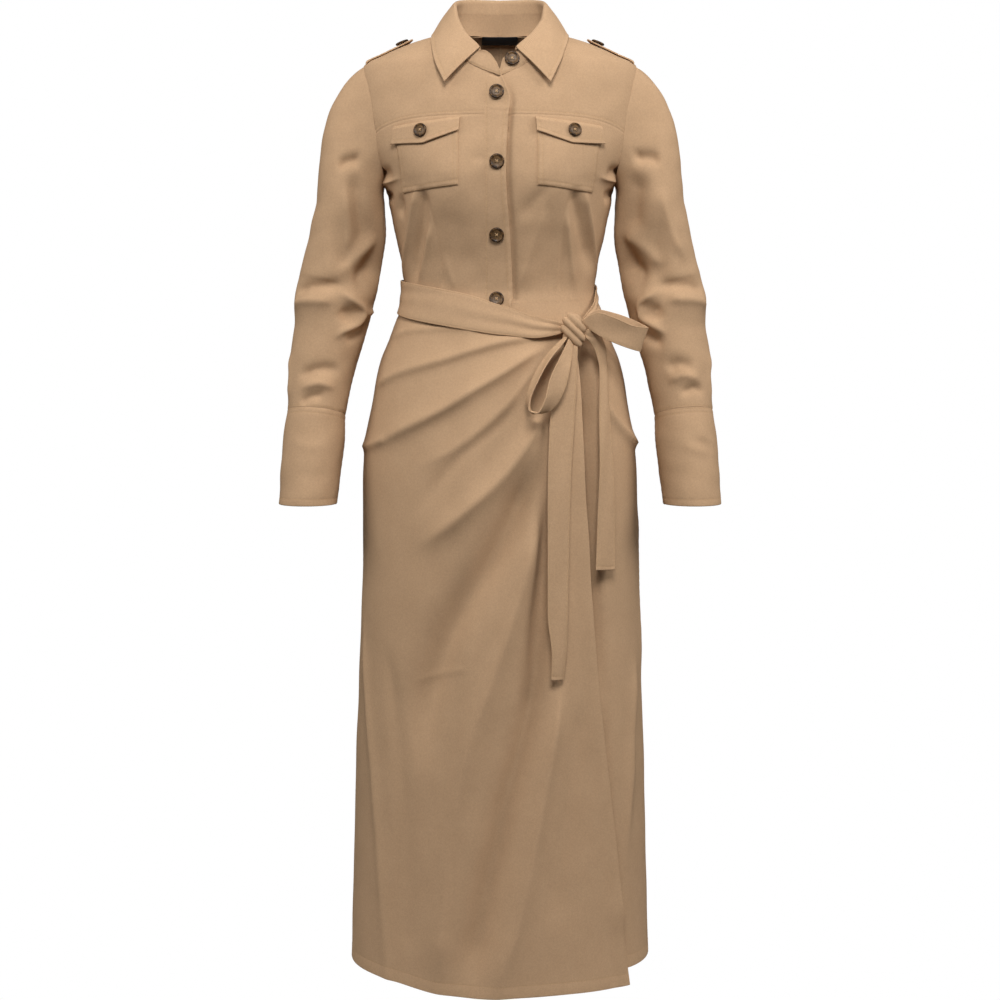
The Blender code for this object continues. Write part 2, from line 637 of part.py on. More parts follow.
def build_yokes(cloth):
    hole = armhole(ARMHOLE_REACH_FRONT)[:ARMHOLE_YOKE_STEPS + 1]
    centre_steps = ARMHOLE_YOKE_STEPS - NECKLINE_STEPS
    for side, name in ((1, "front_yoke_left"), (-1, "front_yoke_right")):
        neck = front_neckline(side)
        heights = np.linspace(neck[-1, 1], YOKE_Z, centre_steps + 1)[1:]
        centre = places(side * angle_at(np.full(centre_steps, CENTRE_X), heights), heights)
        foot_angles = np.linspace(centre[-1, 0], hole[-1, 0], PANEL_STEPS + 1)
        neck[-1, 0] = side * angle_at(CENTRE_X, neck[-1, 1])
        inner_edge = np.concatenate([neck, centre])
        foot = places(foot_angles, yoke_z(foot_angles))
        grid = patch(shoulder_seam(), foot, inner_edge, hole, reached_down(inner_edge))
        lay_panel(name, body_form, grid if side > 0 else mirrored(grid), cloth)


def build_fronts(cloth):
    hole = armhole(ARMHOLE_REACH_FRONT)[ARMHOLE_YOKE_STEPS:]
    side_seam = places(np.full(SIDE_STEPS, 90), np.linspace(UNDERARM_Z, WAIST_SIDE_Z, SIDE_STEPS + 1)[1:])
    outer_edge = np.concatenate([hole, side_seam])
    for side, name in ((1, "front_left"), (-1, "front_right")):
        heights = np.linspace(YOKE_Z, waist_z(0), len(outer_edge))
        centre = places(side * angle_at(np.full(len(heights), CENTRE_X), heights), heights)
        top_angles = np.linspace(centre[0, 0], hole[0, 0], PANEL_STEPS + 1)
        foot_angles = np.linspace(centre[-1, 0], 90, PANEL_STEPS + 1)
        top = places(top_angles, yoke_z(top_angles))
        foot = places(foot_angles, waist_z(foot_angles))
        grid = patch(top, foot, centre, outer_edge, reached_down(centre))
        lay_panel(name, body_form, grid if side > 0 else mirrored(grid), cloth)


def build_backs(cloth):
    hole = armhole(-ARMHOLE_REACH_BACK)
    side_seam = places(np.full(SIDE_STEPS, 90), np.linspace(UNDERARM_Z, WAIST_SIDE_Z, SIDE_STEPS + 1)[1:])
    outer_edge = np.concatenate([hole, side_seam])
    share = np.linspace(0, 1, BACK_NECK_STEPS + 1)
    neck = places(90 + 90 * share, NECK_POINT_Z + (BACK_NECK_Z - NECK_POINT_Z) * share ** 0.7)
    centre_steps = len(outer_edge) - 1 - BACK_NECK_STEPS
    upper = np.linspace(BACK_NECK_Z, BACK_UNDERARM_Z, centre_steps - SIDE_STEPS + 1)[1:]
    lower = np.linspace(BACK_UNDERARM_Z, WAIST_SIDE_Z, SIDE_STEPS + 1)[1:]
    centre = np.concatenate([neck, places(np.full(centre_steps, 180), np.concatenate([upper, lower]))])
    foot_angles = np.linspace(180, 90, PANEL_STEPS + 1)
    foot = places(foot_angles, waist_z(foot_angles))
    grid = patch(shoulder_seam(), foot, centre, outer_edge, np.linspace(0, 1, len(outer_edge)))
    lay_panel("back_left", body_form, grid, cloth)
    lay_panel("back_right", body_form, mirrored(grid), cloth)


# ---------------------------------------------------------------- collar
def collar_line(stations):
    """One line of the collar all round, from the right front to the left front."""
    stations = np.asarray(stations, float)
    number = np.arange(len(stations))
    walk = np.linspace(0, len(stations) - 1, COLLAR_STEPS * (len(stations) - 1) + 1)
    half = np.stack([smooth(walk, number, stations[:, axis]) for axis in range(3)], axis=1)
    whole = np.concatenate([(half * (-1, 1, 1))[:0:-1], half])
    whole[:, 0] += closing_shift(whole[:, 1])
    return whole


def push_off_body(points, clearance):
    """Move points out until they stand clear of the plain body form."""
    moved = points.copy()
    step = 0.2

    def inside(at):
        half_width = read(BODY, BODY_COLUMNS, "z", "half_width", at[..., 2])
        front = read(BODY, BODY_COLUMNS, "z", "front", at[..., 2])
        back = read(BODY, BODY_COLUMNS, "z", "back", at[..., 2])
        return np.hypot(at[..., 0] / half_width, at[..., 1] / np.where(at[..., 1] < 0, front, back)) - 1

    for _ in range(4):
        here = inside(moved)
        slope = np.stack([(inside(moved + axis * step) - inside(moved - axis * step)) / (2 * step)
                          for axis in np.eye(3)], axis=-1)
        steep = np.linalg.norm(slope, axis=-1)
        missing = np.where(moved[..., 2] < NECK_POINT_Z, np.clip(clearance - here / steep, 0, None), 0)
        moved = moved + slope / steep[..., None] * missing[..., None]
    return moved


def build_stand(cloth):
    seam = collar_line(STAND_SEAM)
    top = collar_line(STAND_TOP)
    middle = (seam + top) / 2 + unit((seam + top) * (1, 1, 0)) * STAND_BELLY
    middle[0, 0] += STAND_END_ROUND
    middle[-1, 0] -= STAND_END_ROUND
    grid = trim(np.stack([top, middle, seam]))
    normals = grid_normals(grid)
    sheet("collar_stand", grid, CLOTH, cloth)
    near = (math.floor(STAND_BUTTON_COLUMN), math.ceil(STAND_BUTTON_COLUMN))
    facing = unit(normals[1, near[0]] + normals[1, near[1]])
    facing = facing * -np.sign(facing[1])
    return (grid[1, near[0]] + grid[1, near[1]]) / 2 + facing * CLOTH / 2, facing


def build_collar(cloth):
    """Up from the stand, over the roll and down to the outer edge."""
    seam = collar_line(STAND_SEAM[:-1])
    top = collar_line(STAND_TOP[:-1])
    edge = collar_line(FALL_EDGE)
    walk = np.linspace(0, len(ROLL_RISE) - 1, len(top) // 2 + 1)
    half = smooth(walk, np.arange(len(ROLL_RISE)), ROLL_RISE)
    rise = np.concatenate([half[:0:-1], half])[:, None]
    up = unit(top - seam)
    outward = unit(np.cross(up, np.gradient(top, axis=0)))
    outward = unit(outward * (1, 1, 0.3))
    start = top + up * (SEAM_TRIM * 2)
    inner_side = top + up * (rise - COLLAR_ROLL_RADIUS / 2)
    crest = top + up * (rise + COLLAR_ROLL_RADIUS / 2) + outward * COLLAR_ROLL_RADIUS
    outer_side = inner_side + outward * 2 * COLLAR_ROLL_RADIUS
    rows = [start, inner_side, crest, outer_side]
    for share in COLLAR_FALL_SHARES:
        belly = math.sin(math.pi * share) * COLLAR_FALL_BELLY
        fall = outer_side + (edge - outer_side) * share + outward * belly
        rows.append(push_off_body(fall, COLLAR_CLEARANCE))
    return sheet("collar", np.stack(rows), FACED_CLOTH, cloth)


# ---------------------------------------------------------------- front details
def build_placket(cloth):
    """The band along the right front's edge, lying over both fronts."""
    heights = np.linspace(PLACKET[0][0], PLACKET[-1][0], PLACKET_ROWS + 1)
    edge = read(PLACKET, PLACKET_COLUMNS, "z", "edge_x", heights)
    across = np.linspace(0, 1, PLACKET_STEPS + 1)
    x = PLACKET_LEFT_X + (edge[:, None] - PLACKET_LEFT_X) * across[None]
    from_centre = np.abs(x[0] - CLOSING_SHIFT_X)
    seam_z = read(NECKLINE, NECKLINE_COLUMNS, "x", "z", from_centre) - PLACKET_BELOW_SEAM
    down = (heights - heights[0]) / (heights[-1] - heights[0])
    z = seam_z[None] * (1 - down[:, None]) + heights[-1] * down[:, None]
    grid = np.stack([angle_at(x, z), z], axis=-1)
    return lay_panel("placket", body_form, grid, cloth, LAY_GAP + CLOTH)


def lay_outline(name, corners, steps, side, rise, thickness, cloth):
    """A patch between four corners, with an optional point in its lower edge."""
    top = curve_through((corners["inner_top"], corners["outer_top"]), steps[0] + 1)
    foot_corners = [corners[key] for key in ("inner_foot", "point", "outer_foot") if key in corners]
    foot_x = np.linspace(foot_corners[0][0], foot_corners[-1][0], steps[0] + 1)
    foot_z = np.interp(foot_x, [x for x, z in foot_corners], [z for x, z in foot_corners])
    foot = np.stack([foot_x, foot_z], axis=1)
    down = np.linspace(0, 1, steps[1] + 1)[:, None, None]
    seen = ((1 - down) * top[None] + down * foot[None]) * (side, 1) + (POCKET_SHIFT_X, 0)
    grid = np.stack([angle_at(seen[..., 0], seen[..., 1]), seen[..., 1]], axis=-1)
    return lay_panel(name, body_form, grid, cloth, rise, thickness)


def build_pockets(cloth):
    pocket_rise = LAY_GAP + CLOTH
    flap_rise = pocket_rise + GAP + DOUBLE_CLOTH
    for side, hand in ((1, "left"), (-1, "right")):
        lay_outline("pocket_" + hand, POCKET_OUTLINE, POCKET_STEPS, side, pocket_rise, CLOTH, cloth)
        lay_outline("pocket_flap_" + hand, FLAP_OUTLINE, FLAP_STEPS, side, flap_rise, DOUBLE_CLOTH, cloth)


def build_label(black):
    """A blank woven label inside the back neck, across the centre-back seam."""
    x = np.linspace(-LABEL_WIDTH / 2, LABEL_WIDTH / 2, LABEL_STEPS[0] + 1)
    heights = BACK_NECK_Z - LABEL_DROP - np.linspace(0, LABEL_HEIGHT, LABEL_STEPS[1] + 1)
    xx, zz = np.meshgrid(x, heights)
    grid = np.stack([180 - angle_at(xx, zz), zz], axis=-1)
    return lay_panel("neck_label", body_form, grid, black, -CLOTH - LABEL_GAP, LABEL_CLOTH)


# ---------------------------------------------------------------- sleeves
def arm_rings(heights, columns):
    """Level rings square to the arm, for the left sleeve."""
    x = read(SLEEVE, SLEEVE_COLUMNS, "z", "x", heights)
    y = read(SLEEVE, SLEEVE_COLUMNS, "z", "y", heights)
    half_width = read(SLEEVE, SLEEVE_COLUMNS, "z", "half_width", heights)
    half_depth = read(SLEEVE, SLEEVE_COLUMNS, "z", "half_depth", heights)
    centre = np.stack([x, y, heights], axis=1)
    below = heights - 5
    axis = unit(np.stack([read(SLEEVE, SLEEVE_COLUMNS, "z", "x", below) - x,
                          read(SLEEVE, SLEEVE_COLUMNS, "z", "y", below) - y, below - heights], axis=1))
    outer = unit(np.array((1, 0, 0)) - axis * axis[:, :1])
    front = unit(np.array((0, -1, 0)) + axis * axis[:, 1:2])
    turn = np.linspace(0, 2 * math.pi, columns, endpoint=False)
    return (centre[:, None] + (half_width[:, None] * np.cos(turn))[..., None] * outer[:, None]
            + (half_depth[:, None] * np.sin(turn))[..., None] * front[:, None]), axis


def armhole_ring():
    """The whole left armhole from the shoulder tip, down the front, and up the back."""
    front = armhole(ARMHOLE_REACH_FRONT)
    back = armhole(-ARMHOLE_REACH_BACK)
    return np.concatenate([front, back[-2:0:-1]])


def outward_normals(rings):
    """Directions that face out of a tube of rings."""
    normals = grid_normals(rings, tube=True)
    from_middle = rings - rings.mean(axis=1, keepdims=True)
    return normals * np.sign(np.einsum("ijk,ijk->ij", normals, from_middle))[..., None]


def sleeve_folds(grid, side):
    """Move the sleeve's points along its folds; both sleeves fold alike but not the same."""
    turns = np.linspace(0, 360, grid.shape[1], endpoint=False)
    rise = np.zeros(grid.shape[:2])
    drop = 0 if side > 0 else SLEEVE_FOLD_DROP
    for row in SLEEVE_FOLDS:
        fold = dict(zip(SLEEVE_FOLD_COLUMNS, row))
        for share in np.linspace(0, 1, FOLD_SAMPLES)[1:-1]:
            angle = fold["angle_1"] + (fold["angle_2"] - fold["angle_1"]) * share
            z = fold["z_1"] + (fold["z_2"] - fold["z_1"]) * share - drop
            apart = (turns[None] - angle + 180) % 360 - 180
            distance = np.hypot(np.radians(apart) * ARM_RADIUS, grid[..., 2] - z)
            fade = math.sin(math.pi * share) ** FOLD_END_SOFTNESS
            bump = fold["rise"] * fade * np.exp(-0.5 * (distance / fold["width"]) ** 2)
            rise = np.where(np.abs(bump) > np.abs(rise), bump, rise)
    rise[0] = 0
    rise[-1] = 0
    return grid + outward_normals(grid) * rise[..., None]


def build_sleeves(cloth):
    ring = armhole_ring()
    start, out = with_normals(body_form, ring[:, 0], ring[:, 1])
    count = len(ring)
    hub = start.mean(axis=0)
    hub[0] = start[:, 0].max()
    inward = hub - start
    inward = unit(inward - out * np.einsum("ij,ij->i", inward, out)[:, None])
    first, axis = arm_rings(np.array([SLEEVE[0][0]], float), count)
    bicep = first[0]
    arm = axis[0]
    leave = unit(out * CAP_OUTWARD + arm)
    span = np.linalg.norm(bicep - start, axis=1)[:, None]
    under = (1 - np.cos(np.linspace(0, 2 * math.pi, count, endpoint=False)))[:, None] / 2
    fullness = CAP_FULLNESS * (1 - under) + UNDERARM_FULLNESS * under
    begin = start + out * GAP
    rings = []
    for share in np.linspace(0, 1, SLEEVE_CAP_STEPS + 1)[:-1] ** 1.15:
        rings.append((1 + 2 * share) * (1 - share) ** 2 * begin
                     + share * (1 - share) ** 2 * leave * span * fullness
                     + share ** 2 * (3 - 2 * share) * bicep
                     + share ** 2 * (share - 1) * arm * span * fullness)
    level, _ = arm_rings(np.linspace(SLEEVE[0][0], CUFF_TOP_Z, SLEEVE_ARM_STEPS + 1), count)
    plain = np.concatenate([np.stack(rings), level])
    cuff_heights = np.linspace(CUFF_TOP_Z - 2 * SEAM_TRIM, CUFF_FOOT_Z, CUFF_STEPS + 1)
    cuff, _ = arm_rings(cuff_heights, count)
    for side, hand in ((1, "left"), (-1, "right")):
        mirror = (side, 1, 1)
        outer = sleeve_folds(plain, side)
        inner = outer - outward_normals(outer) * CLOTH
        inner[0] = outer[0] + inward * CLOTH
        wall("sleeve_" + hand, outer * mirror, inner * mirror, cloth, tube=True)
        cuff_inner = cuff - outward_normals(cuff) * DOUBLE_CLOTH
        wall("cuff_" + hand, cuff * mirror, cuff_inner * mirror, cloth, tube=True)


# ---------------------------------------------------------------- epaulettes
def shoulder_height(x, y):
    """The height of the shoulder at a place seen from above."""
    low = np.full(np.shape(x), -160.0)
    high = np.full(np.shape(x), float(BODY[0][0]))
    for _ in range(40):
        z = (low + high) / 2
        half_width = read(BODY, BODY_COLUMNS, "z", "half_width", z)
        front = read(BODY, BODY_COLUMNS, "z", "front", z)
        back = read(BODY, BODY_COLUMNS, "z", "back", z)
        inside = np.hypot(x / half_width, y / np.where(y < 0, front, back)) < 1
        low = np.where(inside, z, low)
        high = np.where(inside, high, z)
    return (low + high) / 2


def build_epaulettes(cloth):
    along = np.linspace(EPAULETTE[0][0], EPAULETTE[-1][0], EPAULETTE_STEPS + 1)
    half_width = np.interp(-along, -column(EPAULETTE, EPAULETTE_COLUMNS, "x"),
                           column(EPAULETTE, EPAULETTE_COLUMNS, "half_width"))
    rise = read(EPAULETTE, EPAULETTE_COLUMNS, "x", "rise", along)
    across = np.linspace(-1, 1, EPAULETTE_ACROSS_STEPS + 1)
    x = np.repeat(along[:, None], len(across), axis=1)
    y = half_width[:, None] * across[None]
    lift = GAP + EPAULETTE_LIFT + DOUBLE_CLOTH / 2 + rise[:, None]
    points = np.stack([x, y, shoulder_height(x, y)], axis=-1)
    normals = grid_normals(points)
    normals *= np.sign(normals[..., 2])[..., None]
    middle = points + normals * lift[..., None]
    for side, hand in ((1, "left"), (-1, "right")):
        sheet("epaulette_" + hand, middle * (side, 1, 1), DOUBLE_CLOTH, cloth)
    row = int(np.abs(along - EPAULETTE_BUTTON_X).argmin())
    facing = normals[row, EPAULETTE_ACROSS_STEPS // 2]
    return middle[row, EPAULETTE_ACROSS_STEPS // 2] + facing * DOUBLE_CLOTH / 2, facing


# ---------------------------------------------------------------- skirt
def skirt_share(rows):
    """Rows from waist to hem, closer together near the waist."""
    return np.linspace(0, 1, rows + 1) ** SKIRT_ROW_POWER


def skirt_grid(top, foot, left_angle, right_angle):
    """Rows of (angle, z) between a top edge and a hem."""
    down = skirt_share(len(left_angle) - 1)[:, None]
    across = np.linspace(0, 1, len(top))[None]
    z = top[None, :, 1] * (1 - down) + foot[None, :, 1] * down
    angle = left_angle[:, None] * (1 - across) + right_angle[:, None] * across
    return np.stack([angle, z], axis=-1)


def build_wrap(cloth):
    down = skirt_share(WRAP_ROWS)
    edge_z = WRAP_EDGE[0][0] + (WRAP_EDGE[-1][0] - WRAP_EDGE[0][0]) * down
    edge_angle = angle_at(read(WRAP_EDGE, WRAP_EDGE_COLUMNS, "z", "x", edge_z), edge_z)
    across = np.linspace(0, 1, WRAP_STEPS + 1)
    top_angle = -90 + (edge_angle[0] + 90) * across
    top_x = body_form(top_angle, waist_z(top_angle))[:, 0]
    top_z = np.minimum(read(WRAP_TOP, WRAP_TOP_COLUMNS, "x", "z", top_x), waist_z(top_angle))
    foot_angle = -90 + (edge_angle[-1] + 90) * across
    foot_x = body_form(foot_angle, np.full(len(across), float(WRAP_EDGE[-1][0])))[:, 0]
    foot_z = read(WRAP_HEM, WRAP_HEM_COLUMNS, "x", "z", foot_x)
    grid = skirt_grid(places(top_angle, top_z), places(foot_angle, foot_z),
                      np.full(WRAP_ROWS + 1, -90.0), edge_angle)
    lay_panel("skirt_wrap", wrap_surface, grid, cloth)


def build_under(cloth):
    down = skirt_share(SKIRT_ROWS)
    edge_z = waist_z(0) + (UNDER_HEM_Z - waist_z(0)) * down
    edge_angle = angle_at(np.full(len(down), float(UNDER_EDGE_X)), edge_z)
    across = np.linspace(0, 1, UNDER_STEPS + 1)
    top_angle = edge_angle[0] + (90 - edge_angle[0]) * across
    foot = places(top_angle, np.full(len(across), UNDER_HEM_Z))
    grid = skirt_grid(places(top_angle, waist_z(top_angle)), foot, edge_angle, np.full(SKIRT_ROWS + 1, 90.0))
    lay_panel("skirt_under", under_surface, grid, cloth)


def build_back_skirt(cloth):
    across = np.linspace(0, 1, BACK_STEPS + 1)
    angle = 90 + 180 * across
    grid = skirt_grid(places(angle, waist_z(angle)), places(angle, np.full(len(across), BACK_HEM_Z)),
                      np.full(SKIRT_ROWS + 1, 90.0), np.full(SKIRT_ROWS + 1, 270.0))
    lay_panel("skirt_back", back_surface, grid, cloth)


# ---------------------------------------------------------------- sash
def knot_surface(rays, gap=0.0):
    """The knot: a firm lump with the wound turns of the band standing out across it."""
    wound = np.cos(2 * math.pi * KNOT_TURNS * (rays[:, 0] * KNOT_SLANT[0] + rays[:, 2] * KNOT_SLANT[1]))
    rise = KNOT_TURN_RISE / KNOT_HALF[0] * wound * np.sqrt(np.clip(1 - rays[:, 2] ** 2, 0, 1))
    return np.array(KNOT_CENTRE) + rays * (np.array(KNOT_HALF) * (1 + rise[:, None]) + gap)


def meet_knot(points, gap):
    """Draw the end of a band in or out until it just touches the knot."""
    rays = unit((points - KNOT_CENTRE) / KNOT_HALF)
    return knot_surface(rays, gap)


def build_sash_band(name, table, steps, cloth):
    reached = np.arange(len(table), dtype=float)
    walk = np.linspace(0, len(table) - 1, steps + 1)
    angle, top, foot, out = (smooth(walk, reached, column(table, SASH_COLUMNS, wanted))
                             for wanted in SASH_COLUMNS)
    down = np.linspace(0, 1, BAND_ROWS + 1)[:, None]
    z = top[None] * (1 - down) + foot[None] * down
    points, normals = with_normals(body_form, np.repeat(angle[None], len(down), axis=0), z)
    middle = points + normals * (out - DOUBLE_CLOTH / 2)[None, :, None]
    middle[:, -1] = meet_knot(middle[:, -1], BAND_SEAT)
    return sheet(name, middle, DOUBLE_CLOTH, cloth)


def build_knot(cloth):
    tilt, turn = np.meshgrid(np.linspace(0, math.pi, KNOT_RINGS + 1)[1:-1],
                             np.linspace(0, 2 * math.pi, KNOT_SIDES, endpoint=False), indexing="ij")
    rays = np.stack([np.sin(tilt) * np.cos(turn), np.sin(tilt) * np.sin(turn), np.cos(tilt)], axis=-1)
    poles = np.array(((0, 0, 1), (0, 0, -1)), float)
    vertices = knot_surface(np.concatenate([rays.reshape(-1, 3), poles]))
    top = len(vertices) - 2
    lowest = (KNOT_RINGS - 2) * KNOT_SIDES
    faces = []
    for side in range(KNOT_SIDES):
        after = (side + 1) % KNOT_SIDES
        faces.append((top, side, after))
        faces.append((top + 1, lowest + after, lowest + side))
        for low in range(0, lowest, KNOT_SIDES):
            faces.append((low + side, low + KNOT_SIDES + side, low + KNOT_SIDES + after, low + after))
    return add_solid("sash_knot", vertices, faces, cloth)


def build_loop(name, table, steps, cloth):
    rails = curve_through(table, steps + 1)
    across = np.linspace(0, 1, BAND_ROWS + 1)[None, :, None]
    points = rails[:, None, :3] * (1 - across) + rails[:, None, 3:] * across
    points[0] = meet_knot(points[0], LOOP_SEAT)
    points[-1] = meet_knot(points[-1], LOOP_SEAT)
    return sheet(name, points, FACED_CLOTH, cloth)


def build_tail(name, table, cloth):
    """A tie that hangs in front of the skirt."""
    line = curve_through(table, TIE_STEPS + 1)
    x, z, half_width, before, turn = line.T
    middle = body_form(angle_at(x, z), z) - before[:, None] * (0, 1, 0)
    along = unit(np.gradient(middle, axis=0))
    swing = np.radians(turn)
    side = np.stack([np.cos(swing), np.sin(swing), np.zeros(len(swing))], axis=1)
    side = unit(side - along * np.einsum("ij,ij->i", side, along)[:, None])
    across = np.linspace(-1, 1, 3)
    points = middle[:, None] + side[:, None] * (half_width[:, None] * across[None])[..., None]
    points[0] = meet_knot(points[0], BAND_SEAT)
    return sheet(name, points, FACED_CLOTH, cloth)


# ---------------------------------------------------------------- buttons
def button_mesh(name, radius, horn):
    """A turned button with a raised rim; its back lies at z = 0."""
    rings = [(share * radius, height * radius) for share, height in BUTTON_PROFILE]
    vertices = [(0, 0, 0)]
    for ring_radius, height in rings:
        for side in range(BUTTON_SIDES):
            turn = 2 * math.pi * side / BUTTON_SIDES
            vertices.append((ring_radius * math.cos(turn), ring_radius * math.sin(turn), height))
    vertices.append((0, 0, rings[-1][1]))
    crown = len(vertices) - 1
    faces = []
    for side in range(BUTTON_SIDES):
        after = (side + 1) % BUTTON_SIDES
        faces.append((0, 1 + after, 1 + side))
        for ring in range(len(rings) - 1):
            low = 1 + ring * BUTTON_SIDES
            high = low + BUTTON_SIDES
            faces.append((low + side, low + after, high + after, high + side))
        last = 1 + (len(rings) - 1) * BUTTON_SIDES
        faces.append((last + side, last + after, crown))
    mesh = bpy.data.meshes.new(name)
    mesh.from_pydata([tuple(part * MM for part in point) for point in vertices], [], faces)
    mesh.shade_smooth()
    mesh.set_sharp_from_angle(angle=math.radians(40))
    mesh.materials.append(horn)
    return mesh


def place_button(name, mesh, seat, facing):
    """Seat a button just clear of the cloth, facing the given way."""
    facing = Vector(facing).normalized()
    body = bpy.data.objects.new(name, mesh)
    body.rotation_euler = facing.to_track_quat("Z", "Y").to_euler()
    body.location = (Vector(seat) + facing * BUTTON_GAP) * MM
    bpy.context.scene.collection.objects.link(body)
    return body


def build_buttons(horn, stand_seat, stand_facing, epaulette_seat, epaulette_facing):
    large = button_mesh("button", BUTTON_RADIUS, horn)
    small = button_mesh("pocket_button", POCKET_BUTTON_RADIUS, horn)
    place_button("button_1", large, stand_seat, stand_facing)
    for number, z in enumerate(FRONT_BUTTON_Z, start=2):
        angle = angle_at(np.array([CENTRE_X]), np.array([z]))
        point, facing = with_normals(body_form, angle, np.array([z]))
        place_button(f"button_{number}", large, point[0] + facing[0] * (LAY_GAP + CLOTH), facing[0])
    for side, hand in ((1, "left"), (-1, "right")):
        x = side * FLAP_OUTLINE["point"][0] + POCKET_SHIFT_X
        z = FLAP_OUTLINE["point"][1] + POCKET_BUTTON_UP
        point, facing = with_normals(body_form, angle_at(np.array([x]), np.array([z])), np.array([z]))
        seat = point[0] + facing[0] * (LAY_GAP + CLOTH + GAP + DOUBLE_CLOTH)
        place_button("pocket_button_" + hand, small, seat, facing[0])
        mirror = np.array((side, 1, 1))
        place_button("epaulette_button_" + hand, small, epaulette_seat * mirror, epaulette_facing * mirror)


def main():
    clear_scene()
    cloth = make_material("cotton_twill", TWILL_COLOUR, 0.85)
    horn = make_material("horn_button", HORN_COLOUR, 0.35)
    black = make_material("woven_label", LABEL_COLOUR, 0.7)
    build_yokes(cloth)
    build_fronts(cloth)
    build_backs(cloth)
    stand_seat, stand_facing = build_stand(cloth)
    build_collar(cloth)
    build_placket(cloth)
    build_pockets(cloth)
    build_label(black)
    build_sleeves(cloth)
    epaulette_seat, epaulette_facing = build_epaulettes(cloth)
    build_wrap(cloth)
    build_under(cloth)
    build_back_skirt(cloth)
    build_sash_band("sash_front", SASH_FRONT, SASH_FRONT_STEPS, cloth)
    build_sash_band("sash_back", SASH_BACK, SASH_BACK_STEPS, cloth)
    build_knot(cloth)
    build_loop("bow_loop_low", LOW_LOOP, LOW_LOOP_STEPS, cloth)
    build_loop("bow_loop_side", SIDE_LOOP, SIDE_LOOP_STEPS, cloth)
    build_tail("sash_tail_long", LONG_TAIL, cloth)
    build_tail("sash_tail_short", SHORT_TAIL, cloth)
    build_buttons(horn, stand_seat, stand_facing, epaulette_seat, epaulette_facing)


main()
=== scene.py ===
"""The looks of the shirt dress: cloth shells with folds, seams, stitches and horn buttons.

Each piece is a thin shell on the form of the solid that it stands for.  Sizes and tables are in
millimetres; mesh points are written in metres.  The front faces -Y and +X is the wearer's left.
Places on the body are an angle and a height: 0 is the centre front, 90 the left side seam, 180 the
centre back and -90 the right side seam.
"""

import math

import bpy
import numpy as np
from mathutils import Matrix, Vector


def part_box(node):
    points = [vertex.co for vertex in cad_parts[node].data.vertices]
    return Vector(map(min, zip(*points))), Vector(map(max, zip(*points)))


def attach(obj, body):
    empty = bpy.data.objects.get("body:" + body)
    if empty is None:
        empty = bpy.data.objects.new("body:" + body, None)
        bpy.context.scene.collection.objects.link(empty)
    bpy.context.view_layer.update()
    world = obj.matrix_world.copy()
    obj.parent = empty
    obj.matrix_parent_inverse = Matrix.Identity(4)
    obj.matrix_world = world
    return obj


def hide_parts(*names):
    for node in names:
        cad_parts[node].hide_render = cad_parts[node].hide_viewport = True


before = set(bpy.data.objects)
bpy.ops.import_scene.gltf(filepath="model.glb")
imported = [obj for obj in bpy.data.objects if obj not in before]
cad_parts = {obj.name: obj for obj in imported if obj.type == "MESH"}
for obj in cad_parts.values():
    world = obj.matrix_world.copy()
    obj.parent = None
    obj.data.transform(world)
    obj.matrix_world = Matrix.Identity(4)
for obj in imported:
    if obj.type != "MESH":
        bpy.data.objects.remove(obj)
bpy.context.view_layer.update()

MM = 0.001


def tabled(names, *rows):
    """A table, kept as its columns under their names."""
    return {name: np.array(values, float) for name, values in zip(names.split(), zip(*rows))}


# ---- measures: cloth
CLOTH = 1.5                 # one layer of twill with its drape
DOUBLE_CLOTH = 2.0          # collar, cuffs, flaps and sash are faced
FACED_CLOTH = 1.8           # collar and ties, faced and pressed flat
LABEL_CLOTH = 1.0
GAP = 0.35                  # between pieces that touch
LAY_GAP = 0.8               # under a piece that lies on a curved panel
SEAM_GAP = 0.3              # between the sleeve and its cuff
# How far apart the lines of each piece's grid lie; left and right pieces are alike.
PITCHES = {
    "front_yoke": 3.0, "front": 2.5, "back": 3.4, "collar_stand": 2.6, "collar": 2.4, "placket": 2.2,
    "pocket": 2.4, "pocket_flap": 2.0, "neck_label": 1.5, "sleeve": 3.7, "cuff": 3.7, "epaulette": 1.6,
    "skirt_wrap": 4.0, "skirt_under": 4.8, "skirt_back": 5.4, "sash_front": 2.8, "sash_back": 2.8,
    "bow_loop_low": 1.8, "bow_loop_side": 1.8, "sash_tail_long": 2.4, "sash_tail_short": 2.4,
}
# Soft unevenness: where the random waves start, the shortest and longest wave, and the height.
BODICE_RIPPLE = (9, 30, 90, 0.35)
SKIRT_RIPPLE = (4, 45, 150, 0.5)
SLEEVE_RIPPLE = (30, 95, 0.45)      # its start differs from arm to arm
RIPPLE_WAVES = 9
BODICE_RIPPLE_REACH = 40    # the bodice's comes up over this distance below the shoulder seam

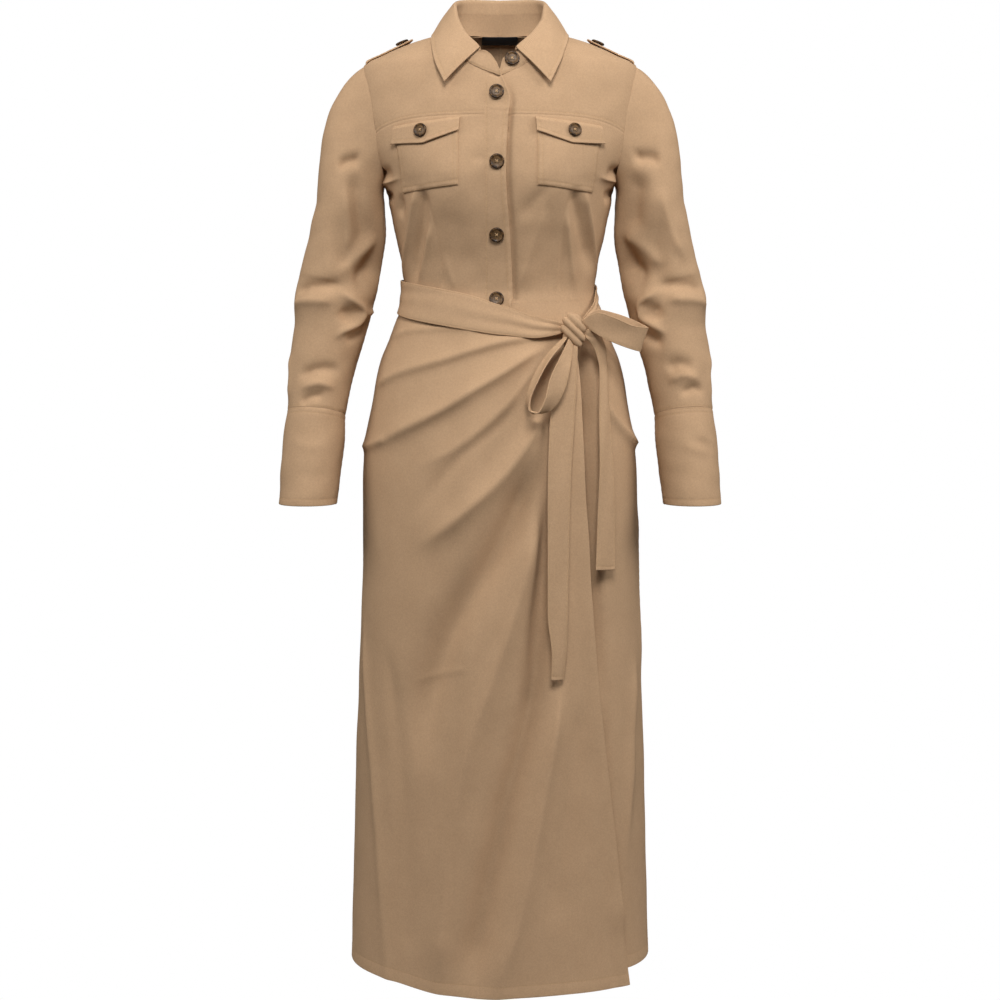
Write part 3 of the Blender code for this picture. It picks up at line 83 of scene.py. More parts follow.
# ---- measures: body of the dress
# The level sections of the bodice and skirt: squareness 2 is an ellipse.
BODY = tabled(
    "z half_width front back squareness",
    (12, 58, 47, 60, 2.0),
    (3, 70, 57, 65, 2.0),
    (-2, 90, 62, 70, 2.0),
    (-10, 118, 68, 77, 2.0),
    (-20, 144, 75, 84, 2.0),
    (-30, 166, 81, 88, 2.0),
    (-36, 179.5, 84.2, 90.7, 2.0),
    (-42, 187, 87, 93, 2.0),
    (-50, 190.8, 90.3, 95.3, 2.0),
    (-58, 192.3, 93.3, 97.5, 2.02),
    (-70, 193, 97, 100, 2.05),
    (-100, 192, 105, 105, 2.1),
    (-130, 188, 110, 107, 2.15),
    (-160, 180, 114, 106, 2.2),
    (-190, 166, 115, 103, 2.2),
    (-205, 158.5, 114, 101, 2.2),
    (-236, 152, 110, 96, 2.2),
    (-281, 142.5, 102, 88, 2.2),
    (-316, 135, 95, 82, 2.2),
    (-348, 131.5, 91, 79, 2.2),
    (-365, 134, 94, 80, 2.2),
    (-389, 144, 99, 86, 2.2),
    (-417, 154.5, 107, 96, 2.2),
    (-444, 165.5, 114, 107, 2.2),
    (-472, 172.5, 121, 117, 2.2),
    (-500, 177, 127, 124, 2.2),
    (-556, 187, 135, 131, 2.2),
    (-612, 191, 140, 133, 2.2),
    (-725, 192.5, 145, 133, 2.2),
    (-852, 197, 149, 134, 2.2),
    (-995, 203, 151, 136, 2.2),
    (-1140, 207, 152, 138, 2.2),
    (-1310, 212, 152, 140, 2.2),
)
BUST_X = 80                 # each cup, shaped by the waist dart under it
BUST_Z = -210
BUST_RISE = 14
BUST_SPREAD_X = 36
BUST_SPREAD_Z = 40

# ---- measures: seam lines
CENTRE_X = -4.5             # the buttons and the meeting fronts run down this line
NECK_POINT_Z = 3            # where the shoulder seam meets the collar
BACK_NECK_Z = 8.4
# The front neckline, from the neck point to the centre front, under the open ends of the stand.
NECKLINE = tabled("x z", (70, 3), (68, -4), (64, -16), (56, -29), (42, -42), (24, -52), (0, -62))
SHOULDER_TIP_Z = -42
UNDERARM_Z = -203
ARMHOLE_REACH_FRONT = 27    # degrees round the body, at the widest part of the armhole
ARMHOLE_REACH_BACK = 29
ARMHOLE_ROUNDNESS = 0.8
YOKE_Z = -115.5             # at the centre front
YOKE_DROP = 21.3            # lower at the armhole by this much
WAIST_SIDE_Z = -357
WAIST_FRONT_DROP = 8
BACK_UNDERARM_Z = -214      # on the centre-back seam, level with the underarm row
PANEL_STEPS = 48            # the first, even grid of each bodice panel
ARMHOLE_YOKE_STEPS = 36
ARMHOLE_LOWER_STEPS = 24
SIDE_STEPS = 36
NECKLINE_STEPS = 24
BACK_NECK_STEPS = 30

# ---- measures: collar
# Half of the collar, in stations from the centre back to the front end of the stand.  The fall
# ends one station sooner than the stand.  Columns: x, y, z.
STAND_SEAM = ((0, 62.5, 9.2), (34, 55, 8.8), (60, 33, 7), (69, 2, 4.5), (67, -44.5, -3), (54, -78, -30),
              (24, -91, -51), (0, -95.5, -61.3))
STAND_TOP = ((0, 62, 36), (32, 55, 36), (55, 35, 34), (63, 3, 28), (59.5, -34, 13), (45.5, -64, -9),
             (23.5, -81.5, -28.5), (10, -85, -30.5))
FALL_EDGE = ((0, 84, 6), (42, 77, 5), (76, 50, 3), (91, 8, 1.5), (93, -40, -8), (86, -80, -38),
             (71, -103, -72.5))
ROLL_RISE = (18, 18, 17, 14, 9, 5, 3)       # the roll above the stand, at each station
COLLAR_ROLL_RADIUS = 2.6
CLOSING_SHIFT_X = -3.4      # the front of the collar closes to the wearer's right of the middle
CLOSING_FROM_Y = -40
CLOSING_TO_Y = -90
COLLAR_CLEARANCE = 2.2      # the collar's middle layer over the shoulders
COLLAR_FALL_BELLY = 2.5
STAND_BELLY = 1.0
# How the right end of the stand lies over the left one: shares down, then shifts in x, y and z.
STAND_OVER = ((0, 0.15, 0.5, 1), (-6, 0, 4, 5.6), (-2.5, -2.5, -2.2, -2), (1, 0, 0, 0))
STAND_END_SHARE = 0.13      # of the stand's length, in which each end shifts
STAND_LAP = 3.4             # it laps over the neckline
STAND_LAP_CLEAR = -0.3      # and sinks into the yokes and backs by this much
STAND_BELOW = ((0, 0.3, 1), (9, 0, 1), (1.0, 0.6, 0), (-2, 0, 0))
COLLAR_STEPS = 14           # columns between two stations

# ---- measures: front details
PLACKET_LEFT_X = -21
# The free edge of the right front: it bows slightly with the body.
PLACKET = tabled("z edge_x", (-63, 2), (-77, 7.5), (-96, 12), (-118, 9.2), (-190, 5.4), (-281, 11.3),
                 (-366, 14.2), (-377, 14.5))
PLACKET_RIGHT_RISE = 2.6    # its free side over the plain front
PLACKET_LEFT_RISE = 0.5
PLACKET_YOKE_SHARE = 0.167  # where the yoke seam crosses it, as a share of its drop
PLACKET_BELOW_SEAM = 4.4    # its top edge under the collar seam
PLACKET_CREASE = (0.7, 0.145, 0.02, 0.012)  # depth, place down it, slant across it, width as a share
PLACKET_SEAM_PRINT = (0.55, 0.004)          # the yoke seam shows through: depth, width as a share
PLACKET_EDGE_SPRING = 2.4   # its free edge stands up by this
PLACKET_WAVE = 0.5
PLACKET_TUCK = 0.6          # its top sinks this much below the front, under the stand
POCKET_SHIFT_X = -3         # both pockets sit a little to the wearer's right
# Corners as seen from the front, each as (x, z), given for the wearer's left: x grows outward.
POCKET_OUTLINE = {"inner_top": (52.6, -119.5), "outer_top": (138.5, -131), "outer_foot": (127, -218),
                  "inner_foot": (52.6, -209)}
FLAP_OUTLINE = {"inner_top": (49.5, -118.6), "outer_top": (138.5, -129.6), "outer_foot": (141, -153),
                "point": (98, -154), "inner_foot": (51.5, -138)}
POCKET_BOW = 0.7            # the pocket's middle stands off the front by this
POCKET_WAVE = 0.25
FLAP_SPRING = 1.7           # the flap springs open by this at its point
FLAP_WAVE = 0.35
FLAP_PRESS = 1.6            # and is pressed down along its seam
LABEL_WIDTH = 52
LABEL_HEIGHT = 9.6
LABEL_DROP = 1.5
LABEL_GAP = 1.8             # inside the back, whose flat facets cut its curve a little short

# ---- measures: sleeves
SLEEVE = tabled(
    "z x y half_width half_depth",
    (-232, 206.5, 0, 47.6, 54),
    (-272, 210.5, 1, 52.6, 54),
    (-306, 217, 2, 53.4, 53),
    (-340, 224.5, 2, 54.9, 53),
    (-361, 230, 0, 54.9, 53),
    (-403, 236.2, -3, 50, 51),
    (-444, 245, -10, 46.4, 48),
    (-485, 250, -19, 42.4, 45),
    (-515, 253.6, -26, 40.4, 43),
    (-553, 256.7, -35, 42.6, 43),
    (-594, 260.3, -45, 41.3, 42),
    (-640, 264.2, -55, 39.8, 41),
)
CUFF_TOP_Z = -516
CUFF_FOOT_Z = -640
CAP_OUTWARD = 0.85          # how far the sleeve head leaves the armhole before it turns down
CAP_FLUSH = 0.7             # how far it runs on in the line of the shoulder first
CAP_FULLNESS = 1.12
UNDERARM_FULLNESS = 0.9
ARM_RADIUS = 48             # turns a fold's angle into a distance round the arm
SLEEVE_SET_IN = 0.7         # its first ring starts inside the edge of the armhole
SLEEVE_COLUMNS_ROUND = 120  # the first, even grid of sleeve and cuff
SLEEVE_CAP_ROWS = 44
SLEEVE_ARM_ROWS = 96
CUFF_ROWS = 44
ARM_READINGS = 720          # places round the arm at which a ring is worked out
SLEEVE_CALM = (10, 2.5)     # folds fade out over these distances at the top and the foot
CUFF_CALM = (3, 3)
ARM_SEAM_CALM = 8           # and over these degrees beside the seam

# ---- measures: epaulettes
# Across the shoulder seam: x along the shoulder, half width front to back, rise above it.
EPAULETTE = tabled("x half_width rise", (182, 19, 0.3), (170, 18.5, 0), (150, 18, 0.2), (136, 17.5, 0.6),
                   (126, 17, 1.5), (118, 3, 2.8))
EPAULETTE_LIFT = 0.5        # over the rounded shoulder
EPAULETTE_BUTTON_X = 134
SHOULDER_LOWEST = -160.0    # the shoulder's height is looked for above this

# ---- measures: skirt
# The wrapped panel ends beside the knot and its edge falls to the hem.
WRAP_EDGE = tabled("z x", (-409, 100), (-440, 103), (-495, 106), (-604, 111), (-682, 116), (-772, 121),
                   (-901, 132), (-1042, 147), (-1140, 157), (-1222, 164), (-1304, 174))
WRAP_TOP = tabled("x z", (-50, -357), (-30, -366), (0, -383), (40, -397), (75, -404), (100, -409))
WRAP_HEM = tabled("x z", (-212, -1289), (-148, -1293), (-78, -1304), (-24, -1306), (32, -1304.5),
                  (101, -1303), (174, -1304))
UNDER_HEM_Z = -1283
BACK_HEM_Z = -1289
WRAP_LIFT = 4.5             # the wrap over the under panel
WRAP_EDGE_LOOSE = 4.0       # its free edge stands off this much more
WRAP_LOOSE_WIDTH = 22
WRAP_LOOSE_FROM_Z = -425
WRAP_LOOSE_LENGTH = 60
WRAP_LIFT_FROM_X = -72
WRAP_LIFT_TO_X = -34
WRAP_CLEARANCE = 0.9        # the least space its troughs leave over the under panel
UNDER_EDGE_X = -30          # the under panel's hidden edge
UNDER_FLAT_PAST_EDGE = 6    # it stays flat this far beyond the wrap's edge
UNDER_FOLD_FROM_EDGE = 24   # and its folds are full this much further
SASH_PRESS_DROP = 12        # folds begin this far below the waist seam
SASH_PRESS_LENGTH = 26      # and are full this much lower
HEM_CALM = 0.45             # the hem holds its folds back by this share
HEM_CALM_FROM = -1225
HEM_CALM_LENGTH = 70
SKIRT_ROWS = 160            # the first, even grid of each skirt panel
SKIRT_STEPS = 90
HEM_DEPTH = 17              # turned up inside

# ---- measures: sash
SASH_FRONT = tabled(
    "angle top_z foot_z out",
    (-92, -333, -379, 5.5), (-60, -338, -387, 6.5), (-27, -349, -398, 8), (0, -369, -410, 10.5),
    (15, -385, -415, 12.5), (23, -391, -413, 14.5), (29, -395, -410, 16),
)
SASH_BACK = tabled(
    "angle top_z foot_z out",
    (267.6, -333, -379, 5.5), (225, -331, -378, 4.5), (180, -331, -378, 4.5), (135, -333, -378, 4.5),
    (97, -340, -377, 3.4), (82, -347, -377, 3.6), (68, -359, -379, 8), (55, -378, -391, 15),
)
SASH_TUCK = 2.5             # its lower edge presses into the skirt
PLEATS = 2                  # soft pleats along the sash, drawn together at the knot
KNOT_CENTRE = (98, -108, -401)
KNOT_HALF = (14.5, 12, 20)
KNOT_TURNS = 3
KNOT_SLANT = (0.35, 0.5)    # how the turns climb over the knot, sideways and upward
BAND_SEAT = 0.8             # the middle layer of a band's end stands this far off the knot
LOOP_SEAT = 1.15
# Loops: x, y, z of one edge of the folded band, then x, y, z of its other edge.
LOW_LOOP = (
    (86, -122, -417, 80, -116, -415),
    (68, -142, -437, 60, -126, -436),
    (51, -158, -466, 43, -138, -466),
    (39, -166, -492, 35, -144, -494),
    (37, -170, -505, 44, -148, -512),
    (47, -171, -510, 62, -150, -510),
    (58, -168, -494, 84, -146, -484),
    (66, -158, -465, 93, -136, -452),
    (80, -140, -436, 97, -122, -430),
)
SIDE_LOOP = (
    (114, -110, -384, 114, -107, -396),
    (131, -109, -378, 131, -106, -408),
    (155, -108, -385, 154, -104, -419),
    (182, -104, -396, 179, -99, -428),
    (200, -93, -398, 190, -90, -431),
    (183, -82, -389, 181, -80, -423),
    (156, -82, -379, 156, -80, -410),
    (132, -88, -374, 132, -87, -398),
    (114, -100, -383, 114, -99, -393),
)
# The hanging ties: x, z, half width, how far they hang in front of the plain skirt, and how many
# degrees their left edge swings back.
LONG_TAIL = ((98, -424, 6, 26, 0), (91, -452, 12, 22, 5), (86, -482, 16, 19, 10), (83, -515, 17, 17, 14),
             (79, -600, 16, 15, 15), (78, -690, 15, 15, 15), (77, -780, 14, 15, 15), (79, -830, 11, 15, 25),
             (76.5, -868, 9.5, 14, 30))
SHORT_TAIL = ((116, -405, 7, 36, 30), (126, -411, 9, 34, 32), (135, -428, 10, 27, 40),
              (139, -455, 8.5, 20, 50), (141, -520, 11, 17, 45), (143, -600, 13, 15, 38),
              (143, -670, 15, 14, 34), (142, -724, 16, 14, 32))
KNOT_TURN_RISE = 2.4
KNOT_TURN_START = 0.12      # where the first turn lies
KNOT_BULGE_SPREAD = 0.35
BAND_END_SHARE = 0.07       # the last part of the sash, drawn in to the knot
TIE_END_SHARE = 0.05        # the same for loops and ties
TIE_WAVE = 0.5              # the unevenness of loops and ties
TIE_END_CUP = 2.0           # a tie's edges curl forward by this where it leaves the knot
# Lumps of the knot: which way each faces, and its height.
KNOT_BULGES = (((0.45, -0.4, -0.8), 6.0), ((-0.5, -0.3, 0.8), 3.0), ((0.3, -0.2, 0.9), 2.0))

# ---- measures: buttons
BUTTON_RADIUS = 10
POCKET_BUTTON_RADIUS = 9.2
# Half of the turned section, from the middle of the back, in shares of the radius: out and up.
BUTTON_PROFILE = ((0.0, 0.0), (0.80, 0.0), (0.93, 0.04), (1.0, 0.13), (1.0, 0.22), (0.97, 0.30),
                  (0.90, 0.345), (0.83, 0.35), (0.76, 0.32), (0.70, 0.26), (0.60, 0.225), (0.35, 0.20),
                  (0.0, 0.19))
BUTTON_SIDES = 56
BUTTON_HEIGHT = 0.35
HOLE_RADIUS = 0.105
HOLE_OFFSET = 0.19
HOLE_SIDES = 20
BUTTON_SHARP = 40           # degrees between faces that show as an edge
SEWING_RINGS = 9            # along one thread
SEWING_SIDES = 8
SEWING_HALF_WIDTH = 0.42
SEWING_HALF_HEIGHT = 0.4
FRONT_BUTTON_SEAT = 3.0     # on the placket, over the plain front
POCKET_BUTTON_SEAT = 5.6    # on the flap

# ---- measures: folds
# A fold runs along a path of places; left and right are its widths beside that path, going along
# it, and a negative rise is a trough.
FOLD_COLUMNS = ("path", "left", "right", "rise", "end")
# Skirt front: path as (x, z) seen from the front; end is the share in which the fold dies away.
SKIRT_FOLDS = (
    (((-27, -405), (-67, -399), (-122, -403), (-153, -414)), 3, 5, 3.0, 0.15),
    (((60, -411), (7, -419), (-40, -432), (-94, -448), (-136, -461), (-174, -482)), 4.5, 12, 6.0, 0.1),
    (((70, -420), (47, -433), (13, -456), (-27, -480), (-80, -511), (-135, -540), (-185, -568)),
     7, 15, 10, 0.22),
    (((-150, -549), (-176, -560), (-192, -566)), 4, 8, 4.0, 0.05),
    (((67, -428), (38, -465), (11, -501), (-27, -537), (-74, -568), (-128, -593)), 7, 9, 4.2, 0.35),
    (((27, -494), (7, -518), (-27, -547), (-67, -587), (-101, -628), (-128, -668)), 7, 7, -3.0, 0.4),
    (((60, -505), (40, -547), (7, -594), (-40, -638), (-94, -682), (-124, -700)), 13, 14, 11.5, 0.3),
    (((51, -560), (27, -627), (-3, -694), (-43, -761), (-81, -836), (-101, -912), (-115, -1009)),
     16, 17, -19, 0.3),
    (((66, -587), (54, -654), (32, -734), (8, -814), (-16, -882), (-38, -950), (-56, -1032), (-70, -1115),
      (-84, -1276), (-88, -1345)), 18, 18, 12.5, 0.15),
    (((66, -570), (63, -640), (60, -708), (52, -788), (46, -869), (31, -950), (10, -1032), (-7, -1114),
      (-23, -1183), (-41, -1278), (-52, -1345)), 12, 12, -16, 0.15),
    (((112, -890), (104, -972), (94, -1054), (84, -1136), (70, -1218)), 12, 12, -4.5, 0.2),
    (((84, -864), (76, -924), (66, -980), (56, -1040), (42, -1115), (26, -1197), (2, -1277), (-10, -1345)),
     12, 13, 12.5, 0.15),
    (((-190, -778), (-183, -896), (-174, -1004), (-165, -1113), (-158, -1223), (-153, -1345)),
     9, 10, 5.5, 0.05),
    (((-157, -823), (-143, -930), (-133, -1039), (-130, -1149), (-127, -1260)), 11, 9, -3.5, 0.1),
    (((187, -837), (183, -913), (178.5, -1022), (171, -1118), (160, -1240)), 9, 12, 6.5, 0.15),
    (((-34, -852), (-81, -863), (-130, -879)), 3, 4, 1.4, 0.4),
    (((122, -1100), (109, -1140), (91, -1180)), 4, 4, 1.2, 0.4),
    (((122, -413), (141, -426), (164, -449)), 6, 3, 4, 0.1),
    (((135, -496), (159, -529), (187, -561)), 9, 5, 8, 0.05),
    (((191, -639), (194, -780), (197, -918)), 8, 10, 2.5, 0.3),
)
# The under panel beside the wrap's edge.
UNDER_FOLDS = (
    (((108, -408), (113, -440), (117, -500), (119, -570)), 9, 11, -13, 0.4),
    (((114, -424), (117, -495), (120, -602), (125, -711), (131, -820), (139, -930), (146, -1013)),
     9, 9, -17.0, 0.45),
    (((140, -900), (148, -1040), (156, -1150), (166, -1300)), 7, 7, -6, 0.05),
)
# Skirt back: path as (x, z) seen from the front through the cloth.
BACK_FOLDS = (
    (((60, -420), (92, -640), (110, -900)), 22, 22, 4.0, 0.4),
    (((-20, -430), (-28, -700), (-20, -1000)), 24, 24, 3.5, 0.4),
    (((-90, -430), (-110, -650), (-125, -950)), 22, 22, 4.0, 0.4),
    (((20, -600), (30, -900), (40, -1230)), 26, 26, -4.0, 0.4),
    (((-70, -640), (-80, -900), (-85, -1230)), 26, 26, -3.5, 0.4),
    (((120, -700), (135, -950), (140, -1240)), 22, 22, -4.0, 0.4),
    (((-186, -552), (-120, -500), (-60, -440)), 12, 18, 5.0, 0.4),
    (((-180, -600), (-110, -560), (-50, -480)), 10, 12, -3.2, 0.4),
    (((180, -560), (130, -500), (70, -440)), 16, 12, 4.2, 0.4),
    (((176, -600), (120, -550), (60, -470)), 12, 10, -3.0, 0.4),
    (((-40, -428), (-20, -470), (-25, -540)), 9, 9, -2.4, 0.4),
    (((30, -424), (42, -470), (50, -560)), 9, 9, -2.6, 0.4),
    (((-160, -900), (-150, -1060), (-160, -1240)), 16, 16, 3.0, 0.4),
    (((70, -950), (80, -1100), (70, -1250)), 20, 20, 3.0, 0.4),
)
# Bodice front, as (x, z).  The narrow ones are the waist dart seams.
BODICE_FOLDS = (
    (((-102, -215), (-85, -274), (-76, -350)), 1.5, 1.5, -1.2, 0.1),
    (((96, -215), (85, -262), (80, -352)), 1.5, 1.5, -1.2, 0.1),
    (((-166, -203), (-150, -201), (-130, -196)), 4, 4, 5, 0.6),
    (((-172, -184), (-156, -190), (-143, -190)), 5, 5, -6, 0.4),
    (((-166, -216), (-152, -218), (-143, -228)), 5, 5, -6, 0.4),
    (((-134, -214), (-134, -232), (-137, -252)), 5, 5, -5, 0.4),
    (((-112, -208), (-121, -257), (-130, -306), (-134, -345)), 5, 5, 5, 0.3),
    (((-102, -208), (-103, -244), (-110, -292), (-118, -348)), 7, 7, -7, 0.25),
    (((-92, -256), (-102, -303), (-113, -346)), 5, 5, 5, 0.3),
    (((-76, -295), (-61, -350)), 4, 4, 2.2, 0.3),
    (((89, -240), (94, -296), (103, -358)), 5, 5, 4.5, 0.3),
    (((96, -208), (109, -262), (125, -330)), 8, 8, -7.5, 0.3),
    (((113, -212), (124, -266), (134, -330)), 4, 4, 4.5, 0.3),
    (((62, -236), (43, -294), (22, -356)), 9, 9, 3.6, 0.3),
    (((66, -206), (46, -232), (22, -262)), 7, 7, -2.6, 0.4),
    (((-66, -240), (-50, -290), (-36, -352)), 10, 10, -1.6, 0.4),
    (((7.5, -66), (10.6, -78), (15.2, -98), (12.4, -118), (8.6, -190), (14.4, -281), (17.2, -368)),
     4, 1.8, -4.6, 0.03),
    (((162, -200), (146, -199), (128, -194)), 4, 4, 5, 0.6),
    (((170, -182), (154, -188), (142, -188)), 5, 5, -6, 0.4),
    (((162, -214), (150, -217), (140, -228)), 5, 5, -6, 0.4),
    (((-42, -178), (-26, -174), (-11, -175)), 5, 5, -1.3, 0.4),
    (((-162, -72), (-130, -90), (-85, -98)), 13, 13, -1.6, 0.4),
    (((162, -76), (124, -92), (86, -97)), 13, 13, -1.6, 0.4),
)
# Bodice back, as (x, z) seen from the front through the cloth.
BODICE_BACK_FOLDS = (
    (((-88, -212), (-80, -290), (-74, -362)), 1.5, 1.5, -1.0, 0.3),
    (((88, -212), (80, -290), (74, -362)), 1.5, 1.5, -1.0, 0.3),
    (((-150, -150), (-118, -196), (-84, -226)), 12, 12, -2.4, 0.3),
    (((150, -150), (116, -190), (86, -224)), 12, 12, -2.2, 0.3),
    (((-140, -120), (-90, -150), (-50, -168)), 14, 14, 1.6, 0.3),
    (((140, -124), (96, -150), (52, -164)), 14, 14, 1.6, 0.3),
    (((-60, -290), (0, -304), (60, -292)), 9, 9, -1.6, 0.3),
    (((-70, -318), (-10, -328), (50, -320)), 8, 8, 1.6, 0.3),
    (((-104, -250), (-106, -300), (-100, -350)), 7, 7, 1.8, 0.3),
    (((104, -250), (106, -300), (100, -350)), 7, 7, 1.8, 0.3),
)
# Sleeves: path as (angle round the arm, z); 0 is the outer side, 90 the front, 180 the inner side.
RIGHT_SLEEVE_FOLDS = (
    (((70, -316), (104, -308), (140, -300), (176, -292)), 34, 24, -13, 0.3),
    (((60, -180), (83, -172), (108, -170)), 5.4, 6.3, -8.2, 0.3),
    (((89, -186), (106, -226), (118, -266), (128, -300)), 9.0, 10.8, -8.2, 0.25),
    (((78, -192), (90, -236), (96, -280), (92, -312)), 7.2, 7.2, 4.3, 0.3),
    (((156, -272), (122, -300), (100, -319), (84, -334)), 16, 12, 8.5, 0.25),
    (((168, -306), (138, -326), (110, -340)), 12, 12, -11, 0.35),
    (((18, -354), (54, -342), (83, -341), (104, -349)), 5.4, 6.3, -7.4, 0.25),
    (((10, -372), (44, -362), (80, -362), (98, -372)), 7.2, 8.1, 6.6, 0.3),
    (((94, -348), (120, -361), (144, -379), (138, -393), (117, -403), (102, -418)), 5.4, 5.4, 9.1, 0.25),
    (((100, -376), (118, -382), (110, -394)), 6.3, 6.3, -6.6, 0.3),
    (((145, -380), (164, -379), (180, -374)), 3.6, 3.6, 4.9, 0.3),
    (((180, -392), (146, -405), (120, -420)), 6.3, 6.3, -7.4, 0.35),
    (((46, -472), (74, -458), (100, -454), (134, -462)), 5.4, 6.3, -5.8, 0.3),
    (((54, -484), (91, -475), (130, -483)), 5.4, 4.5, 4.9, 0.3),
    (((56, -505), (82, -492), (110, -489)), 4.5, 4.5, -4.3, 0.3),
    (((10, -430), (24, -462), (16, -505)), 8.1, 8.1, 3.6, 0.3),
    (((200, -340), (240, -380), (290, -420)), 12, 12, -3.2, 0.25),
    (((214, -384), (260, -372), (320, -372)), 9, 9, 3.2, 0.25),
    (((230, -210), (250, -270), (262, -330)), 14, 14, -3.4, 0.25),
    (((290, -190), (280, -250), (284, -330)), 14, 14, 2.8, 0.25),
    (((220, -460), (270, -474), (320, -462)), 8, 8, -2.4, 0.25),
    (((236, -488), (280, -494), (330, -484)), 7, 7, 2.2, 0.25),
)
LEFT_SLEEVE_FOLDS = (
    (((66, -314), (104, -306), (140, -298), (176, -292)), 34, 24, -14, 0.3),
    (((60, -173), (83, -168), (119, -169)), 6.3, 5.4, -8.2, 0.3),
    (((102, -186), (119, -226), (129, -273)), 10.8, 10.8, -8.2, 0.3),
    (((74, -206), (63, -273), (44, -318)), 7.2, 9.0, 5.6, 0.3),
    (((156, -270), (116, -290), (97, -306), (84, -320)), 16, 12, 8.5, 0.25),
    (((168, -302), (138, -322), (108, -338)), 13, 12, -12, 0.35),
    (((18, -354), (50, -342), (80, -341), (104, -349)), 6.3, 5.4, -7.4, 0.25),
    (((10, -374), (44, -362), (78, -360), (98, -370)), 8.1, 7.2, 6.6, 0.3),
    (((94, -347), (116, -356), (134, -369), (135, -383), (117, -397), (98, -412)), 5.4, 5.4, 9.1, 0.25),
    (((98, -372), (114, -378), (108, -392)), 6.3, 6.3, -6.6, 0.3),
    (((151, -393), (128, -413), (106, -424)), 6.3, 6.3, -7.4, 0.35),
    (((117, -460), (90, -448), (60, -455)), 5.4, 6.3, -5.3, 0.3),
    (((120, -474), (86, -464), (50, -472)), 5.4, 5.4, 4.6, 0.3),
    (((100, -491), (69, -481), (40, -488)), 4.5, 4.5, -4.6, 0.3),
    (((12, -430), (26, -466), (18, -508)), 8.1, 8.1, 3.6, 0.3),
    (((200, -346), (244, -384), (292, -426)), 12, 12, -3.2, 0.25),
    (((214, -388), (260, -378), (320, -376)), 9, 9, 3.2, 0.25),
    (((232, -205), (252, -270), (260, -336)), 14, 14, -3.4, 0.25),
    (((288, -196), (282, -255), (286, -326)), 14, 14, 2.8, 0.25),
    (((222, -466), (268, -480), (322, -470)), 8, 8, -2.4, 0.25),
    (((240, -494), (284, -500), (334, -488)), 7, 7, 2.2, 0.25),
)
RIGHT_CUFF_FOLDS = (
    (((40, -548), (89, -560), (127, -556)), 6, 6, 1.0, 0.25),
    (((60, -590), (100, -600), (140, -596)), 7, 7, -0.8, 0.25),
    (((230, -560), (270, -574), (310, -566)), 7, 7, 1.0, 0.25),
)
LEFT_CUFF_FOLDS = (
    (((76, -541), (49, -549), (24, -559)), 5, 6, 1.5, 0.25),
    (((104, -557), (80, -563), (52, -571)), 5, 6, 1.4, 0.25),
    (((90, -549), (62, -556), (36, -566)), 4, 4, -1.0, 0.25),
    (((230, -564), (270, -576), (310, -570)), 7, 7, 1.0, 0.25),
)
# Soft folds of the collar: shares along its whole length and down the fall, widths as such shares.
COLLAR_FOLD_COLUMNS = ("along_1", "down_1", "along_2", "down_2", "width", "rise")
COLLAR_FOLDS = (
    (0.13, 0.35, 0.17, 0.85, 0.016, -1.3),
    (0.07, 0.55, 0.10, 0.95, 0.014, 0.8),
    (0.86, 0.45, 0.93, 0.75, 0.012, 1.2),
    (0.83, 0.70, 0.88, 0.95, 0.014, -1.0),
    (0.40, 0.50, 0.47, 0.80, 0.030, 0.8),
    (0.58, 0.45, 0.66, 0.85, 0.026, -0.9),
)
ARM_FOLDS = {"sleeve_left": LEFT_SLEEVE_FOLDS, "cuff_left": LEFT_CUFF_FOLDS,
             "sleeve_right": RIGHT_SLEEVE_FOLDS, "cuff_right": RIGHT_CUFF_FOLDS}
FOLD_STEPS = 26             # pieces of one fold's path
FOLD_START = 0.17           # share of its path in which a fold comes up
FOLD_START_LENGTH = 26      # or this far along a short one,
FOLD_START_MOST = 0.45      # but at most in this share of it
FOLD_SIDE_BLEND = 6         # its two widths meet over this distance
ARM_FOLD_SIDE_BLEND = 5
FOLD_WIDENING = 0.6         # narrower at its start, wider at its end, by this share
CREST_ROUND = 0.3           # how sharply a ridge bends over, as a share of its width
CREST_NARROW = 1.5          # a ridge is this much narrower than a trough
FOLD_REACH = 3.4            # widths beyond which a fold is not felt


# ---- curves
def smooth(places, knots, values):
    """Read a smooth curve that passes through the table's rows and never overshoots them."""
    knots = np.asarray(knots, float)
    values = np.asarray(values, float)
    if knots[0] > knots[-1]:
        knots = knots[::-1]
        values = values[::-1]
    places = np.clip(places, knots[0], knots[-1])
    step = np.diff(knots)
    slope = np.diff(values) / step
    tangent = np.zeros_like(values)
    tangent[0] = slope[0]
    tangent[-1] = slope[-1]
    same_way = slope[:-1] * slope[1:] > 0
    mean = 2 * slope[:-1] * slope[1:] / np.where(same_way, slope[:-1] + slope[1:], 1)
    tangent[1:-1] = np.where(same_way, mean, 0)
    cell = np.clip(np.searchsorted(knots, places, side="right") - 1, 0, len(step) - 1)
    width = step[cell]
    along = (places - knots[cell]) / width
    left = values[cell]
    right = values[cell + 1]
    rise = tangent[cell] * width
    fall = tangent[cell + 1] * width
    return (left * (1 + 2 * along) * (1 - along) ** 2 + rise * along * (1 - along) ** 2
            + right * along ** 2 * (3 - 2 * along) + fall * along ** 2 * (along - 1))


def read(table, wanted, places):
    """Read one column at places of the table's first column."""
    return smooth(places, next(iter(table.values())), table[wanted])


def read_all(table, places):
    """Read every other column at places of the table's first one."""
    first, *others = table.values()
    return [smooth(places, first, values) for values in others]


def curve_through(points, count):
    """A rounded curve of evenly shared steps through a few points."""
    points = np.asarray(points, float)
    lengths = np.linalg.norm(np.diff(points, axis=0), axis=1)
    reached = np.concatenate(([0], np.cumsum(lengths)))
    places = np.linspace(0, reached[-1], count)
    return np.stack([smooth(places, reached, points[:, axis]) for axis in range(points.shape[1])], axis=1)


